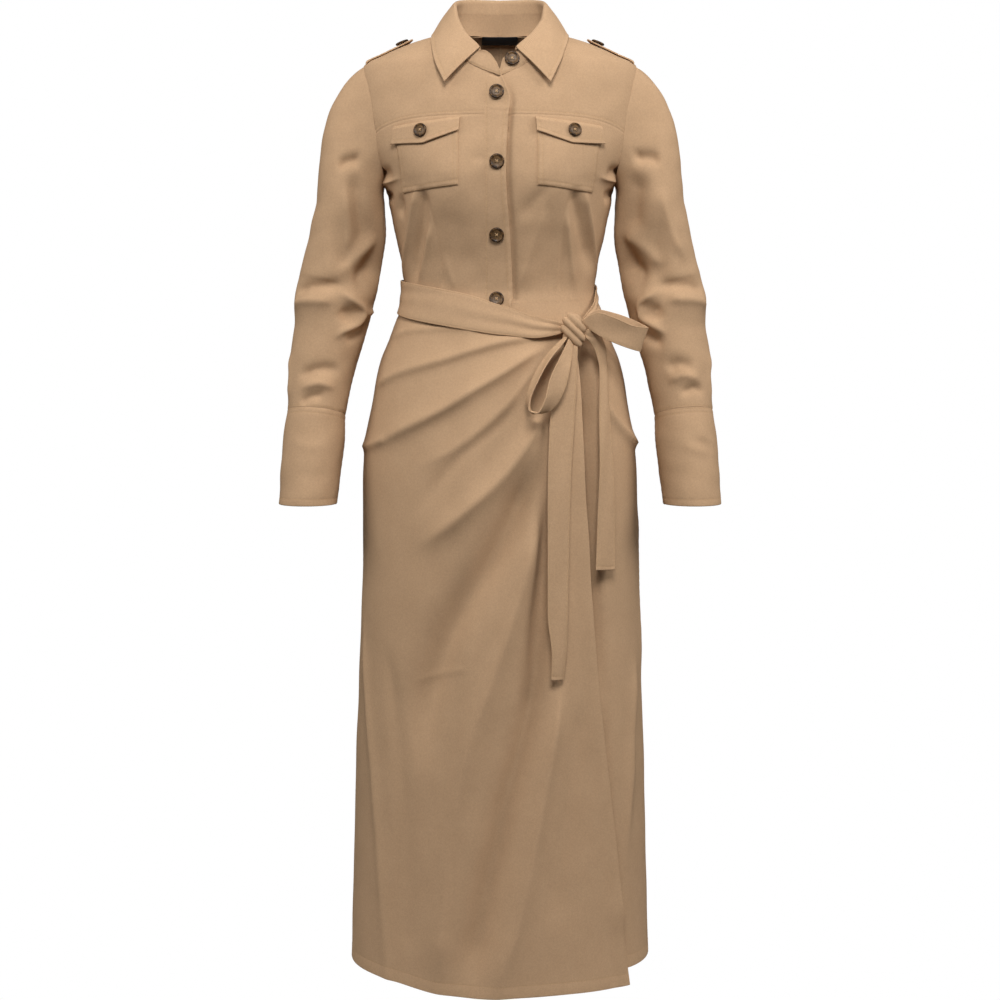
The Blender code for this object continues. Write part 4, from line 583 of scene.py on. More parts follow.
def unit(vectors):
    return vectors / np.maximum(np.linalg.norm(vectors, axis=-1, keepdims=True), 1e-9)


def ease(share):
    """Rise from 0 to 1 without corners."""
    share = np.clip(share, 0, 1)
    return share * share * (3 - 2 * share)


# ---- the body form
def body_form(angle, z):
    """The plain form of bodice and skirt, without folds."""
    angle = np.asarray(angle, float)
    z = np.broadcast_to(np.asarray(z, float), angle.shape)
    half_width, front, back, squareness = read_all(BODY, z)
    power = 2 / squareness
    sine = np.sin(np.radians(angle))
    cosine = np.cos(np.radians(angle))
    x = half_width * np.sign(sine) * np.abs(sine) ** power
    depth = np.where(cosine > 0, -front, back)
    y = depth * np.abs(cosine) ** power
    cups = sum(np.exp(-0.5 * ((x - side * BUST_X) / BUST_SPREAD_X) ** 2) for side in (-1, 1))
    cups = cups * np.exp(-0.5 * ((z - BUST_Z) / BUST_SPREAD_Z) ** 2) * np.clip(cosine, 0, 1) ** 0.5
    return np.stack([x, y - BUST_RISE * cups, z], axis=-1)


def angle_at(x, z):
    """The angle of the place on the front that is seen at x and z."""
    share = np.clip(np.abs(x) / read(BODY, "half_width", z), 0, 1) ** (read(BODY, "squareness", z) / 2)
    return np.sign(x) * np.degrees(np.arcsin(share))


def share_of_section(x, y, z):
    """How far out a place lies: 1 is on the body's level section, taken as an ellipse."""
    half_width, front, back, _ = read_all(BODY, z)
    return np.hypot(x / half_width, y / np.where(y < 0, front, back))


def with_normals(surface, angle, z):
    """Points of a surface and the directions that face out of it."""
    angle = np.asarray(angle, float)
    z = np.broadcast_to(np.asarray(z, float), angle.shape)
    turn = 0.4
    drop = 0.8
    across = surface(angle + turn, z) - surface(angle - turn, z)
    down = surface(angle, z - drop) - surface(angle, z + drop)
    return surface(angle, z), unit(np.cross(down, across))


# ---- folds
def locate_front(x, z):
    return body_form(angle_at(x, z), z)


def locate_back(x, z):
    return body_form(180 - angle_at(x, z), z)


def fold_section(near_line, rise):
    """A ridge has a narrow crest and long sides; a trough is round."""
    if rise > 0:
        near_line = CREST_NARROW * np.sqrt(np.sqrt(near_line ** 2 + CREST_ROUND ** 2) - CREST_ROUND)
    return rise * np.exp(-0.5 * near_line ** 2)


def beside_path(points, path):
    """Where points lie beside a path: how far along it, how far off, its run there and the way off it."""
    start = path[:-1]
    run = path[1:] - start
    offset = points[:, None] - start[None]
    share = np.clip(np.einsum("ijk,jk->ij", offset, run) / np.einsum("jk,jk->j", run, run), 0, 1)
    apart = offset - share[..., None] * run[None]
    distance = np.linalg.norm(apart, axis=2)
    nearest = distance.argmin(axis=1)
    every = np.arange(len(points))
    along = (nearest + share[every, nearest]) / FOLD_STEPS
    return along, distance[every, nearest], run[nearest], apart[every, nearest]


def fold_width(fold, side, run, soft):
    """A fold's width on the side of its path where each point lies, blended over the path."""
    blend = ease(0.5 + side / np.linalg.norm(run, axis=1) / soft)
    return fold["right"] + (fold["left"] - fold["right"]) * blend


def fold_rise(points, outward, folds, locate):
    """How far the folds lift or sink the cloth at each point."""
    flat = points.reshape(-1, 3)
    facing = outward.reshape(-1, 3)
    total = np.zeros(len(flat))
    for row in folds:
        fold = dict(zip(FOLD_COLUMNS, row))
        seen = curve_through(fold["path"], FOLD_STEPS + 1)
        line = locate(seen[:, 0], seen[:, 1])
        reach = FOLD_REACH * max(fold["left"], fold["right"]) * (1 + FOLD_WIDENING)
        close = np.all((flat > line.min(axis=0) - reach) & (flat < line.max(axis=0) + reach), axis=1)
        if not close.any():
            continue
        along, across, run, apart = beside_path(flat[close], line)
        side = np.einsum("ij,ij->i", np.cross(run, apart), facing[close])
        width = fold_width(fold, side, run, FOLD_SIDE_BLEND) * (1 + FOLD_WIDENING * (along - 0.5))
        length = np.linalg.norm(line[1:] - line[:-1], axis=1).sum()
        start_share = max(FOLD_START, min(FOLD_START_MOST, FOLD_START_LENGTH / length))
        fade = ease(along / start_share) * ease((1 - along) / fold["end"])
        total[close] += fade * fold_section(across / width, fold["rise"])
    return total.reshape(points.shape[:-1])


def ripple(u, v, seed, shortest, longest, height):
    """The soft unevenness of hanging cloth: a few waves that cross each other."""
    choice = np.random.default_rng(seed)
    total = np.zeros(np.broadcast(u, v).shape)
    for wave in np.linspace(shortest, longest, RIPPLE_WAVES):
        turn = choice.uniform(0, 2 * math.pi)
        phase = choice.uniform(0, 2 * math.pi)
        total += np.sin(2 * math.pi * (u * math.cos(turn) + v * math.sin(turn)) / wave + phase)
    return total * height / math.sqrt(RIPPLE_WAVES)


def skirt_rise(plain, out):
    """Folds fade out where the sash presses them to the waist."""
    rise = fold_rise(plain, out, SKIRT_FOLDS, locate_front) + fold_rise(plain, out, BACK_FOLDS, locate_back)
    rise = rise + ripple(plain[..., 0], plain[..., 2], *SKIRT_RIPPLE)
    rise = rise * (1 - HEM_CALM * ease((HEM_CALM_FROM - plain[..., 2]) / HEM_CALM_LENGTH))
    return rise * ease((WAIST_SIDE_Z - SASH_PRESS_DROP - plain[..., 2]) / SASH_PRESS_LENGTH)


def wrap_lift(plain):
    """How far the wrap lies over the under panel: its free edge stands off a little more."""
    rim = read(WRAP_EDGE, "x", plain[..., 2])
    beside = ease(1 - (rim - plain[..., 0]) / WRAP_LOOSE_WIDTH)
    loose = WRAP_EDGE_LOOSE * beside * ease((WRAP_LOOSE_FROM_Z - plain[..., 2]) / WRAP_LOOSE_LENGTH)
    return WRAP_LIFT * ease((plain[..., 0] - WRAP_LIFT_FROM_X) / (WRAP_LIFT_TO_X - WRAP_LIFT_FROM_X)) + loose


def wrap_surface(angle, z):
    """The wrapped panel: its folds, and its lift where it lies over the under panel."""
    plain, out = with_normals(body_form, angle, z)
    return plain + out * (skirt_rise(plain, out) + wrap_lift(plain))[..., None]


def under_surface(angle, z):
    """The under panel gives way to the wrap's troughs where the wrap covers it."""
    plain, out = with_normals(body_form, angle, z)
    rim = read(WRAP_EDGE, "x", plain[..., 2])
    clear = ease((plain[..., 0] - rim - UNDER_FLAT_PAST_EDGE) / UNDER_FOLD_FROM_EDGE)
    rise = skirt_rise(plain, out)
    covered = np.minimum(0, rise + wrap_lift(plain) - CLOTH - WRAP_CLEARANCE)
    beside = fold_rise(plain, out, UNDER_FOLDS, locate_front)
    return plain + out * (covered + (rise - covered) * clear + beside)[..., None]


def back_surface(angle, z):
    plain, out = with_normals(body_form, angle, z)
    return plain + out * skirt_rise(plain, out)[..., None]


def bodice_surface(angle, z):
    plain, out = with_normals(body_form, angle, z)
    rise = fold_rise(plain, out, BODICE_FOLDS, locate_front)
    rise = rise + fold_rise(plain, out, BODICE_BACK_FOLDS, locate_back)
    below = ease(-plain[..., 2] / BODICE_RIPPLE_REACH)
    rise = rise + ripple(plain[..., 0], plain[..., 2], *BODICE_RIPPLE) * below
    return plain + out * rise[..., None]


# ---- edges of a piece
# near: grid lines at these distances from the edge.  lower: how far the edge sinks, over reach.
EDGES = {
    "seam": {"near": (0.5, 1.2, 2.2, 3.6), "lower": 0.45, "reach": 2.2, "rounded": False, "hem": 0},
    "joined": {"near": (0.6, 1.8), "lower": 0.12, "reach": 1.6, "rounded": False, "hem": 0},
    "free": {"near": (0.18, 0.5, 1.0, 2.0), "lower": 0.0, "reach": 1.0, "rounded": True, "hem": 0},
    "sewn": {"near": (0.5, 1.2, 2.2, 3.4), "lower": 0.95, "reach": 1.5, "rounded": False, "hem": 0},
    "hem": {"near": (0.3, 0.9, 2.0, 3.5), "lower": 0.0, "reach": 1.0, "rounded": True, "hem": HEM_DEPTH},
    "plain": {"near": (1.0,), "lower": 0.0, "reach": 1.0, "rounded": False, "hem": 0},
}
SIDES = ("top", "foot", "left", "right")
GROOVE_DEPTH = 0.28         # a row of stitches draws the cloth in
GROOVE_WIDTH = 0.8
HEM_THICKNESS = 1.0
HEM_FADE = 2.4              # inside, its upper edge falls off over this distance
HEM_SHOWS = 0.2             # outside it stands out by this, and falls off over the next
HEM_SHOWS_FADE = 1.6
HEM_START = 1.2
HEM_LINES = (-0.6, 0.6, 1.6, 2.8)   # grid lines beside the upper edge of a hem
ROUNDED_SHARE = 0.96        # of the thickness, by which a free edge is rounded off
LEAST_STEP = 0.14           # between two grid lines
EDGE_LINES_SHARE = 0.85     # of a row, which its edges' grid lines may take up
PUCKER_HEIGHT = 0.16        # small waves beside a seam
PUCKER_LENGTH = 11
PUCKER_SWAY = 1.7           # their spacing varies by this, over the next
PUCKER_SWAY_LENGTH = 17
PUCKER_REACH = 7
PUCKER_START = 1.5


def edge(kind, *stitches):
    return dict(EDGES[kind], stitches=stitches)


def edged(top, foot, left, right):
    return dict(zip(SIDES, (top, foot, left, right)))


def edge_lines(one):
    """Distances from an edge at which the grid has a line."""
    lines = [0.0, *one["near"]]
    for row in one["stitches"]:
        lines += [row - GROOVE_WIDTH, row, row + GROOVE_WIDTH]
    if one["hem"]:
        lines += [one["hem"] + step for step in HEM_LINES]
    kept = []
    wanted = set(one["stitches"])
    for place in sorted(set(lines)):
        if place in wanted or all(abs(place - other) > LEAST_STEP for other in (*kept, *wanted)):
            kept.append(place)
    return np.array(kept)


def reached_along(points, axis):
    """Distance along a grid's lines from their first point."""
    steps = np.linalg.norm(np.diff(points, axis=axis), axis=2)
    start = np.zeros_like(np.take(steps, [0], axis=axis))
    return np.concatenate([start, np.cumsum(steps, axis=axis)], axis=axis)


def even_rows(values, points, first, last, pitch):
    """Read each row at set distances from both ends, and evenly between them."""
    reached = reached_along(points, 1)
    total = reached[:, -1]
    count = max(1, round((total.max() - first[-1] - last[-1]) / pitch))
    rows = []
    for row in range(len(values)):
        squeeze = min(1.0, EDGE_LINES_SHARE * total[row] / (first[-1] + last[-1]))
        begin = first * squeeze
        end = total[row] - last[::-1] * squeeze
        at = np.concatenate([begin, np.linspace(begin[-1], end[0], count + 1)[1:-1], end])
        rows.append(np.stack([np.interp(at, reached[row], part) for part in values[row].T], axis=1))
    return np.stack(rows)


def relaid(node, values, form, edges):
    """Lay a grid again with lines where its edges and stitches need them."""
    pitch = PITCHES[node.removesuffix("_left").removesuffix("_right")]
    values = even_rows(values, form(values), edge_lines(edges["left"]), edge_lines(edges["right"]), pitch)
    turned = values.swapaxes(0, 1)
    turned = even_rows(turned, form(values).swapaxes(0, 1), edge_lines(edges["top"]),
                       edge_lines(edges["foot"]), pitch)
    return turned.swapaxes(0, 1)


def grid_normals(points, tube=False):
    """Directions square to a grid of points."""
    down = np.gradient(points, axis=0)
    if tube:
        across = np.roll(points, -1, axis=1) - np.roll(points, 1, axis=1)
    else:
        across = np.gradient(points, axis=1)
    return unit(np.cross(down, across))


def outward_normals(rings):
    """Directions that face out of a tube of rings."""
    normals = grid_normals(rings, tube=True)
    from_middle = rings - rings.mean(axis=1, keepdims=True)
    return normals * np.sign(np.einsum("ijk,ijk->ij", normals, from_middle))[..., None]


# ---- stitches
STITCH_PITCH = 3.4
STITCH_LENGTH = 2.5
STITCH_RADIUS = 0.27
STITCH_FLATTENED = 1.2      # wider than it is high, by this factor
STITCH_SINK = 0.12          # its ends go this far into the cloth
STITCH_RISE = 0.1
STITCH_CROWN = 0.28         # its two thick places, as shares of its length from its middle
stitch_vertices = {}


def add_stitches(region, points, normals):
    """A row of stitches along a line on the cloth."""
    reached = np.concatenate([[0], np.cumsum(np.linalg.norm(np.diff(points, axis=0), axis=1))])
    count = int(reached[-1] / STITCH_PITCH)
    if count < 1:
        return
    middle = (np.arange(count) + 0.5) * reached[-1] / count

    def at(places, values):
        return np.stack([np.interp(places, reached, part) for part in values.T], axis=1)

    up = unit(at(middle, normals))
    centre = at(middle, points)
    ahead = at(middle + STITCH_LENGTH / 2, points) - at(middle - STITCH_LENGTH / 2, points)
    ahead = unit(ahead - up * np.einsum("ij,ij->i", ahead, up)[:, None])
    side = np.cross(ahead, up)
    corners = [centre - ahead * STITCH_LENGTH / 2 - up * STITCH_SINK,
               centre + ahead * STITCH_LENGTH / 2 - up * STITCH_SINK]
    for along in (-STITCH_CROWN, STITCH_CROWN):
        station = centre + ahead * STITCH_LENGTH * along + up * STITCH_RISE
        corners += [station + side * STITCH_RADIUS * STITCH_FLATTENED, station + up * STITCH_RADIUS,
                    station - side * STITCH_RADIUS * STITCH_FLATTENED, station - up * STITCH_RADIUS]
    stitch_vertices.setdefault(region, []).append(np.stack(corners, axis=1))


STITCH_FACES = ((0, 3, 2), (0, 4, 3), (0, 5, 4), (0, 2, 5), (1, 6, 7), (1, 7, 8), (1, 8, 9), (1, 9, 6),
                (2, 3, 7, 6), (3, 4, 8, 7), (4, 5, 9, 8), (5, 2, 6, 9))


# ---- objects
def add_mesh(name, vertices, faces, material, uv=None, smooth_angle=55):
    """A closed mesh, given in millimetres, turned so that its faces point out."""
    vertices = np.asarray(vertices, float)
    volume = 0.0
    for size in {len(face) for face in faces}:
        ring = np.array([face for face in faces if len(face) == size])
        for step in range(1, size - 1):
            a, b, c = vertices[ring[:, 0]], vertices[ring[:, step]], vertices[ring[:, step + 1]]
            volume += np.einsum("ij,ij->", a, np.cross(b, c))
    if volume < 0:
        faces = [tuple(reversed(face)) for face in faces]
    mesh = bpy.data.meshes.new(name)
    mesh.from_pydata((vertices * MM).tolist(), [], faces)
    mesh.update()
    if uv is not None:
        layer = mesh.uv_layers.new(name="weave")
        corner = np.empty(len(mesh.loops), dtype=np.int32)
        mesh.loops.foreach_get("vertex_index", corner)
        layer.data.foreach_set("uv", (uv[corner] * MM).astype(np.float32).ravel())
    mesh.shade_smooth()
    mesh.set_sharp_from_angle(angle=math.radians(smooth_angle))
    mesh.materials.append(material)
    body = bpy.data.objects.new(name, mesh)
    bpy.context.scene.collection.objects.link(body)
    return body


def dress_as(piece, node):
    """Hang a piece on the dress in place of its solid."""
    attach(piece, "root")
    if node:
        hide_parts(node)
    return piece


def shell(name, outer, inner, uv, material):
    """Close two matching grids of points into one wall."""
    rows, columns = outer.shape[:2]
    half = rows * columns
    number = np.arange(half).reshape(rows, columns)
    quads = np.stack([number[:-1, :-1], number[:-1, 1:], number[1:, 1:], number[1:, :-1]], axis=-1)
    quads = quads.reshape(-1, 4)
    rim = np.concatenate([number[0, :-1], number[:-1, -1], number[-1, :0:-1], number[:0:-1, 0]])
    after = np.roll(rim, -1)
    sides = np.stack([after, rim, rim + half, after + half], axis=-1)
    faces = np.concatenate([quads, quads[:, ::-1] + half, sides]).tolist()
    vertices = np.concatenate([outer.reshape(-1, 3), inner.reshape(-1, 3)])
    flat = np.concatenate([uv.reshape(-1, 2), uv.reshape(-1, 2)])
    return add_mesh(name, vertices, faces, material, flat)


def finish_cloth(node, points, facing, thickness, edges, material, region=None, seed=0):
    """Give a grid of middle points its two faces, edges, hems, seam puckers and stitches."""
    normals = grid_normals(points)
    normals = normals * np.sign(np.einsum("ijk,ijk->", normals, facing))
    across = reached_along(points, 1)
    down = reached_along(points, 0)
    distance = {"top": down, "foot": down[-1:] - down, "left": across, "right": across[:, -1:] - across}
    lines = {side: edge_lines(edges[side]) for side in SIDES}
    lower = np.zeros(points.shape[:2])
    thinner = np.zeros(points.shape[:2])
    outside = np.zeros(points.shape[:2])
    inside = np.zeros(points.shape[:2])
    for number, side in enumerate(SIDES):
        one = edges[side]
        away = distance[side]
        lower = np.maximum(lower, one["lower"] * (1 - ease(away / one["reach"])))
        if one["rounded"]:
            radius = thickness / 2
            left = np.clip(1 - away / radius, 0, 1)
            thinner = np.maximum(thinner, radius * (1 - np.sqrt(1 - left ** 2)) * ROUNDED_SHARE)
        for row in one["stitches"]:
            outside -= GROOVE_DEPTH * np.exp(-((away - row) / GROOVE_WIDTH) ** 2)
        if one["hem"]:
            past = away - one["hem"]
            inside += HEM_THICKNESS * (1 - ease(past / HEM_FADE)) * ease(away / HEM_START)
            outside += HEM_SHOWS * (1 - ease(past / HEM_SHOWS_FADE)) * ease(away / HEM_START)
        if one["stitches"] or one["lower"]:
            run = across if side in ("top", "foot") else down
            sway = PUCKER_SWAY * np.sin(run / PUCKER_SWAY_LENGTH + seed + number)
            wave = np.sin(2 * math.pi * run / PUCKER_LENGTH + sway)
            near = np.exp(-(away / PUCKER_REACH) ** 2) * ease(away / PUCKER_START)
            outside += PUCKER_HEIGHT * wave * near
    outer = points + normals * (thickness / 2 - lower - thinner + outside)[..., None]
    inner = points - normals * (thickness / 2 + lower - thinner + inside)[..., None]
    uv = np.stack([across + (across[:, -1:].max() - across[:, -1:]) / 2, down], axis=-1)
    piece = dress_as(shell("cloth_" + node, outer, inner, uv, material), node)
    if region:
        for side in SIDES:
            beside = ("left", "right") if side in ("top", "foot") else ("top", "foot")
            for row in edges[side]["stitches"]:
                place = int(np.abs(lines[side] - row).argmin())
                place = -1 - place if side in ("foot", "right") else place
                pick = (place, slice(None)) if side in ("top", "foot") else (slice(None), place)
                keep = np.ones(len(outer[pick]), bool)
                for other in beside:
                    margin = min(edges[other]["stitches"], default=1.0)
                    keep &= distance[other][pick] >= margin - 0.2
                if keep.sum() > 2:
                    add_stitches(region, outer[pick][keep], normals[pick][keep])
    return piece


def laid(node, surface, grid, edges, material, rise=0.0, thickness=CLOTH, region=None, lift=None):
    """A panel on a surface: its outer face stands off it by the given rise."""
    grid = relaid(node, grid, lambda values: body_form(values[..., 0], values[..., 1]), edges)
    points = surface(grid[..., 0], grid[..., 1])
    _, out = with_normals(body_form, grid[..., 0], grid[..., 1])
    stand = np.full(points.shape[:2], rise - thickness / 2)
    if lift is not None:
        down = np.linspace(0, 1, len(points))[:, None]
        stand = stand + lift(np.linspace(0, 1, points.shape[1])[None, :], down)
    normals = grid_normals(points)
    normals = normals * np.sign(np.einsum("ijk,ijk->", normals, out))
    points = points + normals * stand[..., None]
    return finish_cloth(node, points, out, thickness, edges, material, region, seed=len(node))


def banded(node, points, facing, edges, material, thickness, region):
    """A piece given by a fine grid of middle points."""
    points = relaid(node, points, lambda values: values, edges)
    return finish_cloth(node, points, facing(points), thickness, edges, material, region, seed=len(node))


# ---- bodice, by its seam lines as (angle, z) places
def patch(top, foot, left, right, down):
    """Fill four edges with a grid of (angle, z) places; left and right run downward."""
    across = np.linspace(0, 1, len(top))[None, :, None]
    down = down[:, None, None]
    downward = (1 - down) * top[None] + down * foot[None]
    sideways = (1 - across) * left[:, None] + across * right[:, None]
    corners = ((1 - down) * ((1 - across) * top[0] + across * top[-1])
               + down * ((1 - across) * foot[0] + across * foot[-1]))
    return downward + sideways - corners


def reached_down(line):
    """How far down each point of an edge lies, as a share of its drop."""
    return (line[:, 1] - line[0, 1]) / (line[-1, 1] - line[0, 1])


def places(angles, heights):
    return np.stack([np.asarray(angles, float), np.asarray(heights, float)], axis=1)


def waist_z(angle):
    return WAIST_SIDE_Z - WAIST_FRONT_DROP * np.clip(np.cos(np.radians(angle)), 0, 1)


def yoke_z(angle):
    return YOKE_Z - YOKE_DROP * (np.abs(angle) / (90 - ARMHOLE_REACH_FRONT)) ** 3


def armhole(reach):
    """One side of the left armhole, from the shoulder tip to the underarm."""
    middle = (SHOULDER_TIP_Z + UNDERARM_Z) / 2
    half = (SHOULDER_TIP_Z - UNDERARM_Z) / 2
    at_yoke = math.degrees(math.acos((YOKE_Z - YOKE_DROP - middle) / half))
    upper = np.linspace(0, at_yoke, ARMHOLE_YOKE_STEPS + 1)
    lower = np.linspace(at_yoke, 180, ARMHOLE_LOWER_STEPS + 1)[1:]
    turn = np.radians(np.concatenate([upper, lower]))
    return places(90 - reach * np.abs(np.sin(turn)) ** ARMHOLE_ROUNDNESS, middle + half * np.cos(turn))


def shoulder_seam():
    return places(np.full(PANEL_STEPS + 1, 90), np.linspace(NECK_POINT_Z, SHOULDER_TIP_Z, PANEL_STEPS + 1))


def mirrored(grid):
    return grid * (-1, 1)


def closing_shift(y):
    """The front of the neck closes a little to the wearer's right."""
    return CLOSING_SHIFT_X * np.clip((y - CLOSING_FROM_Y) / (CLOSING_TO_Y - CLOSING_FROM_Y), 0, 1)


def front_neckline(side):
    seen = curve_through(np.stack([NECKLINE["x"], NECKLINE["z"]], axis=1), NECKLINE_STEPS + 1)
    y = locate_front(seen[:, 0], seen[:, 1])[:, 1]
    x = seen[:, 0] + side * closing_shift(y)
    return places(angle_at(x, seen[:, 1]), seen[:, 1])


def dress_yokes(cloth):
    hole = armhole(ARMHOLE_REACH_FRONT)[:ARMHOLE_YOKE_STEPS + 1]
    centre_steps = ARMHOLE_YOKE_STEPS - NECKLINE_STEPS
    for side, name in ((1, "front_yoke_left"), (-1, "front_yoke_right")):
        neck = front_neckline(side)
        heights = np.linspace(neck[-1, 1], YOKE_Z, centre_steps + 1)[1:]
        centre = places(side * angle_at(np.full(centre_steps, CENTRE_X), heights), heights)
        foot_angles = np.linspace(centre[-1, 0], hole[-1, 0], PANEL_STEPS + 1)
        neck[-1, 0] = side * angle_at(CENTRE_X, neck[-1, 1])
        inner_edge = np.concatenate([neck, centre])
        foot = places(foot_angles, yoke_z(foot_angles))
        grid = patch(shoulder_seam(), foot, inner_edge, hole, reached_down(inner_edge))
        edges = edged(edge("joined"), edge("seam", 4.5), edge("seam"), edge("joined"))
        laid(name, bodice_surface, grid if side > 0 else mirrored(grid), edges, cloth, region="yokes")


def dress_fronts(cloth):
    hole = armhole(ARMHOLE_REACH_FRONT)[ARMHOLE_YOKE_STEPS:]
    side_seam = places(np.full(SIDE_STEPS, 90), np.linspace(UNDERARM_Z, WAIST_SIDE_Z, SIDE_STEPS + 1)[1:])
    outer_edge = np.concatenate([hole, side_seam])
    for side, name in ((1, "front_left"), (-1, "front_right")):
        heights = np.linspace(YOKE_Z, waist_z(0), len(outer_edge))
        centre = places(side * angle_at(np.full(len(heights), CENTRE_X), heights), heights)
        top_angles = np.linspace(centre[0, 0], hole[0, 0], PANEL_STEPS + 1)
        foot_angles = np.linspace(centre[-1, 0], 90, PANEL_STEPS + 1)
        top = places(top_angles, yoke_z(top_angles))
        foot = places(foot_angles, waist_z(foot_angles))
        grid = patch(top, foot, centre, outer_edge, reached_down(centre))
        edges = edged(edge("seam"), edge("joined"), edge("seam"), edge("joined"))
        laid(name, bodice_surface, grid if side > 0 else mirrored(grid), edges, cloth)


def dress_backs(cloth):
    hole = armhole(-ARMHOLE_REACH_BACK)
    side_seam = places(np.full(SIDE_STEPS, 90), np.linspace(UNDERARM_Z, WAIST_SIDE_Z, SIDE_STEPS + 1)[1:])
    outer_edge = np.concatenate([hole, side_seam])
    share = np.linspace(0, 1, BACK_NECK_STEPS + 1)
    neck = places(90 + 90 * share, NECK_POINT_Z + (BACK_NECK_Z - NECK_POINT_Z) * share ** 0.7)
    centre_steps = len(outer_edge) - 1 - BACK_NECK_STEPS
    upper = np.linspace(BACK_NECK_Z, BACK_UNDERARM_Z, centre_steps - SIDE_STEPS + 1)[1:]
    lower = np.linspace(BACK_UNDERARM_Z, WAIST_SIDE_Z, SIDE_STEPS + 1)[1:]
    centre = np.concatenate([neck, places(np.full(centre_steps, 180), np.concatenate([upper, lower]))])
    foot_angles = np.linspace(180, 90, PANEL_STEPS + 1)
    foot = places(foot_angles, waist_z(foot_angles))
    grid = patch(shoulder_seam(), foot, centre, outer_edge, np.linspace(0, 1, len(outer_edge)))
    edges = edged(edge("joined"), edge("seam"), edge("seam", 3.0), edge("joined"))
    laid("back_left", bodice_surface, grid, edges, cloth, region="backs")
    laid("back_right", bodice_surface, mirrored(grid), edges, cloth, region="backs")


# ---- collar
def collar_line(stations):
    """One line of the collar all round, from the right front to the left front."""
    stations = np.asarray(stations, float)
    number = np.arange(len(stations))
    walk = np.linspace(0, len(stations) - 1, COLLAR_STEPS * (len(stations) - 1) + 1)
    half = np.stack([smooth(walk, number, stations[:, axis]) for axis in range(3)], axis=1)
    whole = np.concatenate([(half * (-1, 1, 1))[:0:-1], half])
    whole[:, 0] += closing_shift(whole[:, 1])
    return whole


def push_off_body(points, clearance):
    """Move points out until they stand clear of the plain body form."""
    moved = points.copy()
    step = 0.2

    def outside(at):
        return share_of_section(at[..., 0], at[..., 1], at[..., 2]) - 1

    for _ in range(4):
        here = outside(moved)
        slope = np.stack([(outside(moved + axis * step) - outside(moved - axis * step)) / (2 * step)
                          for axis in np.eye(3)], axis=-1)
        steep = np.linalg.norm(slope, axis=-1)
        missing = np.where(moved[..., 2] < NECK_POINT_Z, np.clip(clearance - here / steep, 0, None), 0)
        moved = moved + slope / steep[..., None] * missing[..., None]
    return moved


def outward_from_neck(points):
    """The way that is out from the neck, for collar pieces."""
    return unit(points * (1, 1, 0.2))


def dress_stand(cloth):
    seam = collar_line(STAND_SEAM)
    top = collar_line(STAND_TOP)
    share = np.linspace(0, 1, 15)[:, None, None]
    bow = np.sin(math.pi * share)
    grid = top * (1 - share) + seam * share + bow * STAND_BELLY * unit((seam + top) * (1, 1, 0))
    from_end = np.linspace(0, 1, grid.shape[1])
    for end, table in ((from_end, STAND_OVER), (1 - from_end, STAND_BELOW)):
        near = ease(1 - end / STAND_END_SHARE)[None, :, None]
        shift = np.stack([np.interp(share[:, 0, 0], table[0], part) for part in table[1:]], axis=1)
        grid = grid + near * shift[:, None]
    behind = ease((grid[-1][:, 1:2] + 10) / 25)
    inward = unit(grid[-1] * (1, 1, 0)) * behind
    laps = []
    for drop in (1.2, 2.4, STAND_LAP):
        lapped = grid[-1] - (0, 0, drop) - (0, 0, drop) * behind - inward * drop * 0.6
        laps.append(push_off_body(lapped, STAND_LAP_CLEAR))
    grid = np.concatenate([grid, np.stack(laps)])
    edges = edged(edge("joined"), edge("free", 2.2), edge("free", 3.0), edge("free", 3.0))
    banded("collar_stand", grid, outward_from_neck, edges, cloth, CLOTH, "collar")
    return grid


def dress_collar(cloth):
    """Up from the stand, over the roll and down to the outer edge."""
    seam = collar_line(STAND_SEAM[:-1])
    top = collar_line(STAND_TOP[:-1])
    rim = collar_line(FALL_EDGE)
    walk = np.linspace(0, len(ROLL_RISE) - 1, len(top) // 2 + 1)
    half = smooth(walk, np.arange(len(ROLL_RISE)), ROLL_RISE)
    rise = np.concatenate([half[:0:-1], half])[:, None]
    up = unit(top - seam)
    outward = unit(np.cross(up, np.gradient(top, axis=0)))
    outward = unit(outward * (1, 1, 0.3))
    start = top - up * 0.5
    inner_side = top + up * (rise - COLLAR_ROLL_RADIUS / 2)
    inner_high = top + up * (rise + COLLAR_ROLL_RADIUS * 0.2) + outward * COLLAR_ROLL_RADIUS * 0.3
    crest = top + up * (rise + COLLAR_ROLL_RADIUS / 2) + outward * COLLAR_ROLL_RADIUS
    outer_high = top + up * (rise + COLLAR_ROLL_RADIUS * 0.2) + outward * COLLAR_ROLL_RADIUS * 1.7
    outer_side = inner_side + outward * 2 * COLLAR_ROLL_RADIUS
    rows = [start, (start + inner_side) / 2, inner_side, inner_high, crest, outer_high, outer_side]
    for share in np.linspace(0, 1, 25)[1:]:
        belly = math.sin(math.pi * share) * COLLAR_FALL_BELLY
        fall = outer_side + (rim - outer_side) * share + outward * belly
        rows.append(push_off_body(fall, COLLAR_CLEARANCE))
    rough = np.stack(rows)
    grid = np.stack([curve_through(rough[:, place], 60) for place in range(rough.shape[1])], axis=1)
    grid = grid + grid_folds(grid)[..., None] * outward[None]
    edges = edged(edge("joined"), edge("free", 5.5), edge("free", 5.5), edge("free", 5.5))

    def facing(points):
        """Out on the fall, which is the larger share; the stand side faces the neck."""
        return outward_from_neck(points) * np.linspace(-1, 3, len(points))[:, None, None]

    banded("collar", grid, facing, edges, cloth, FACED_CLOTH, "collar")


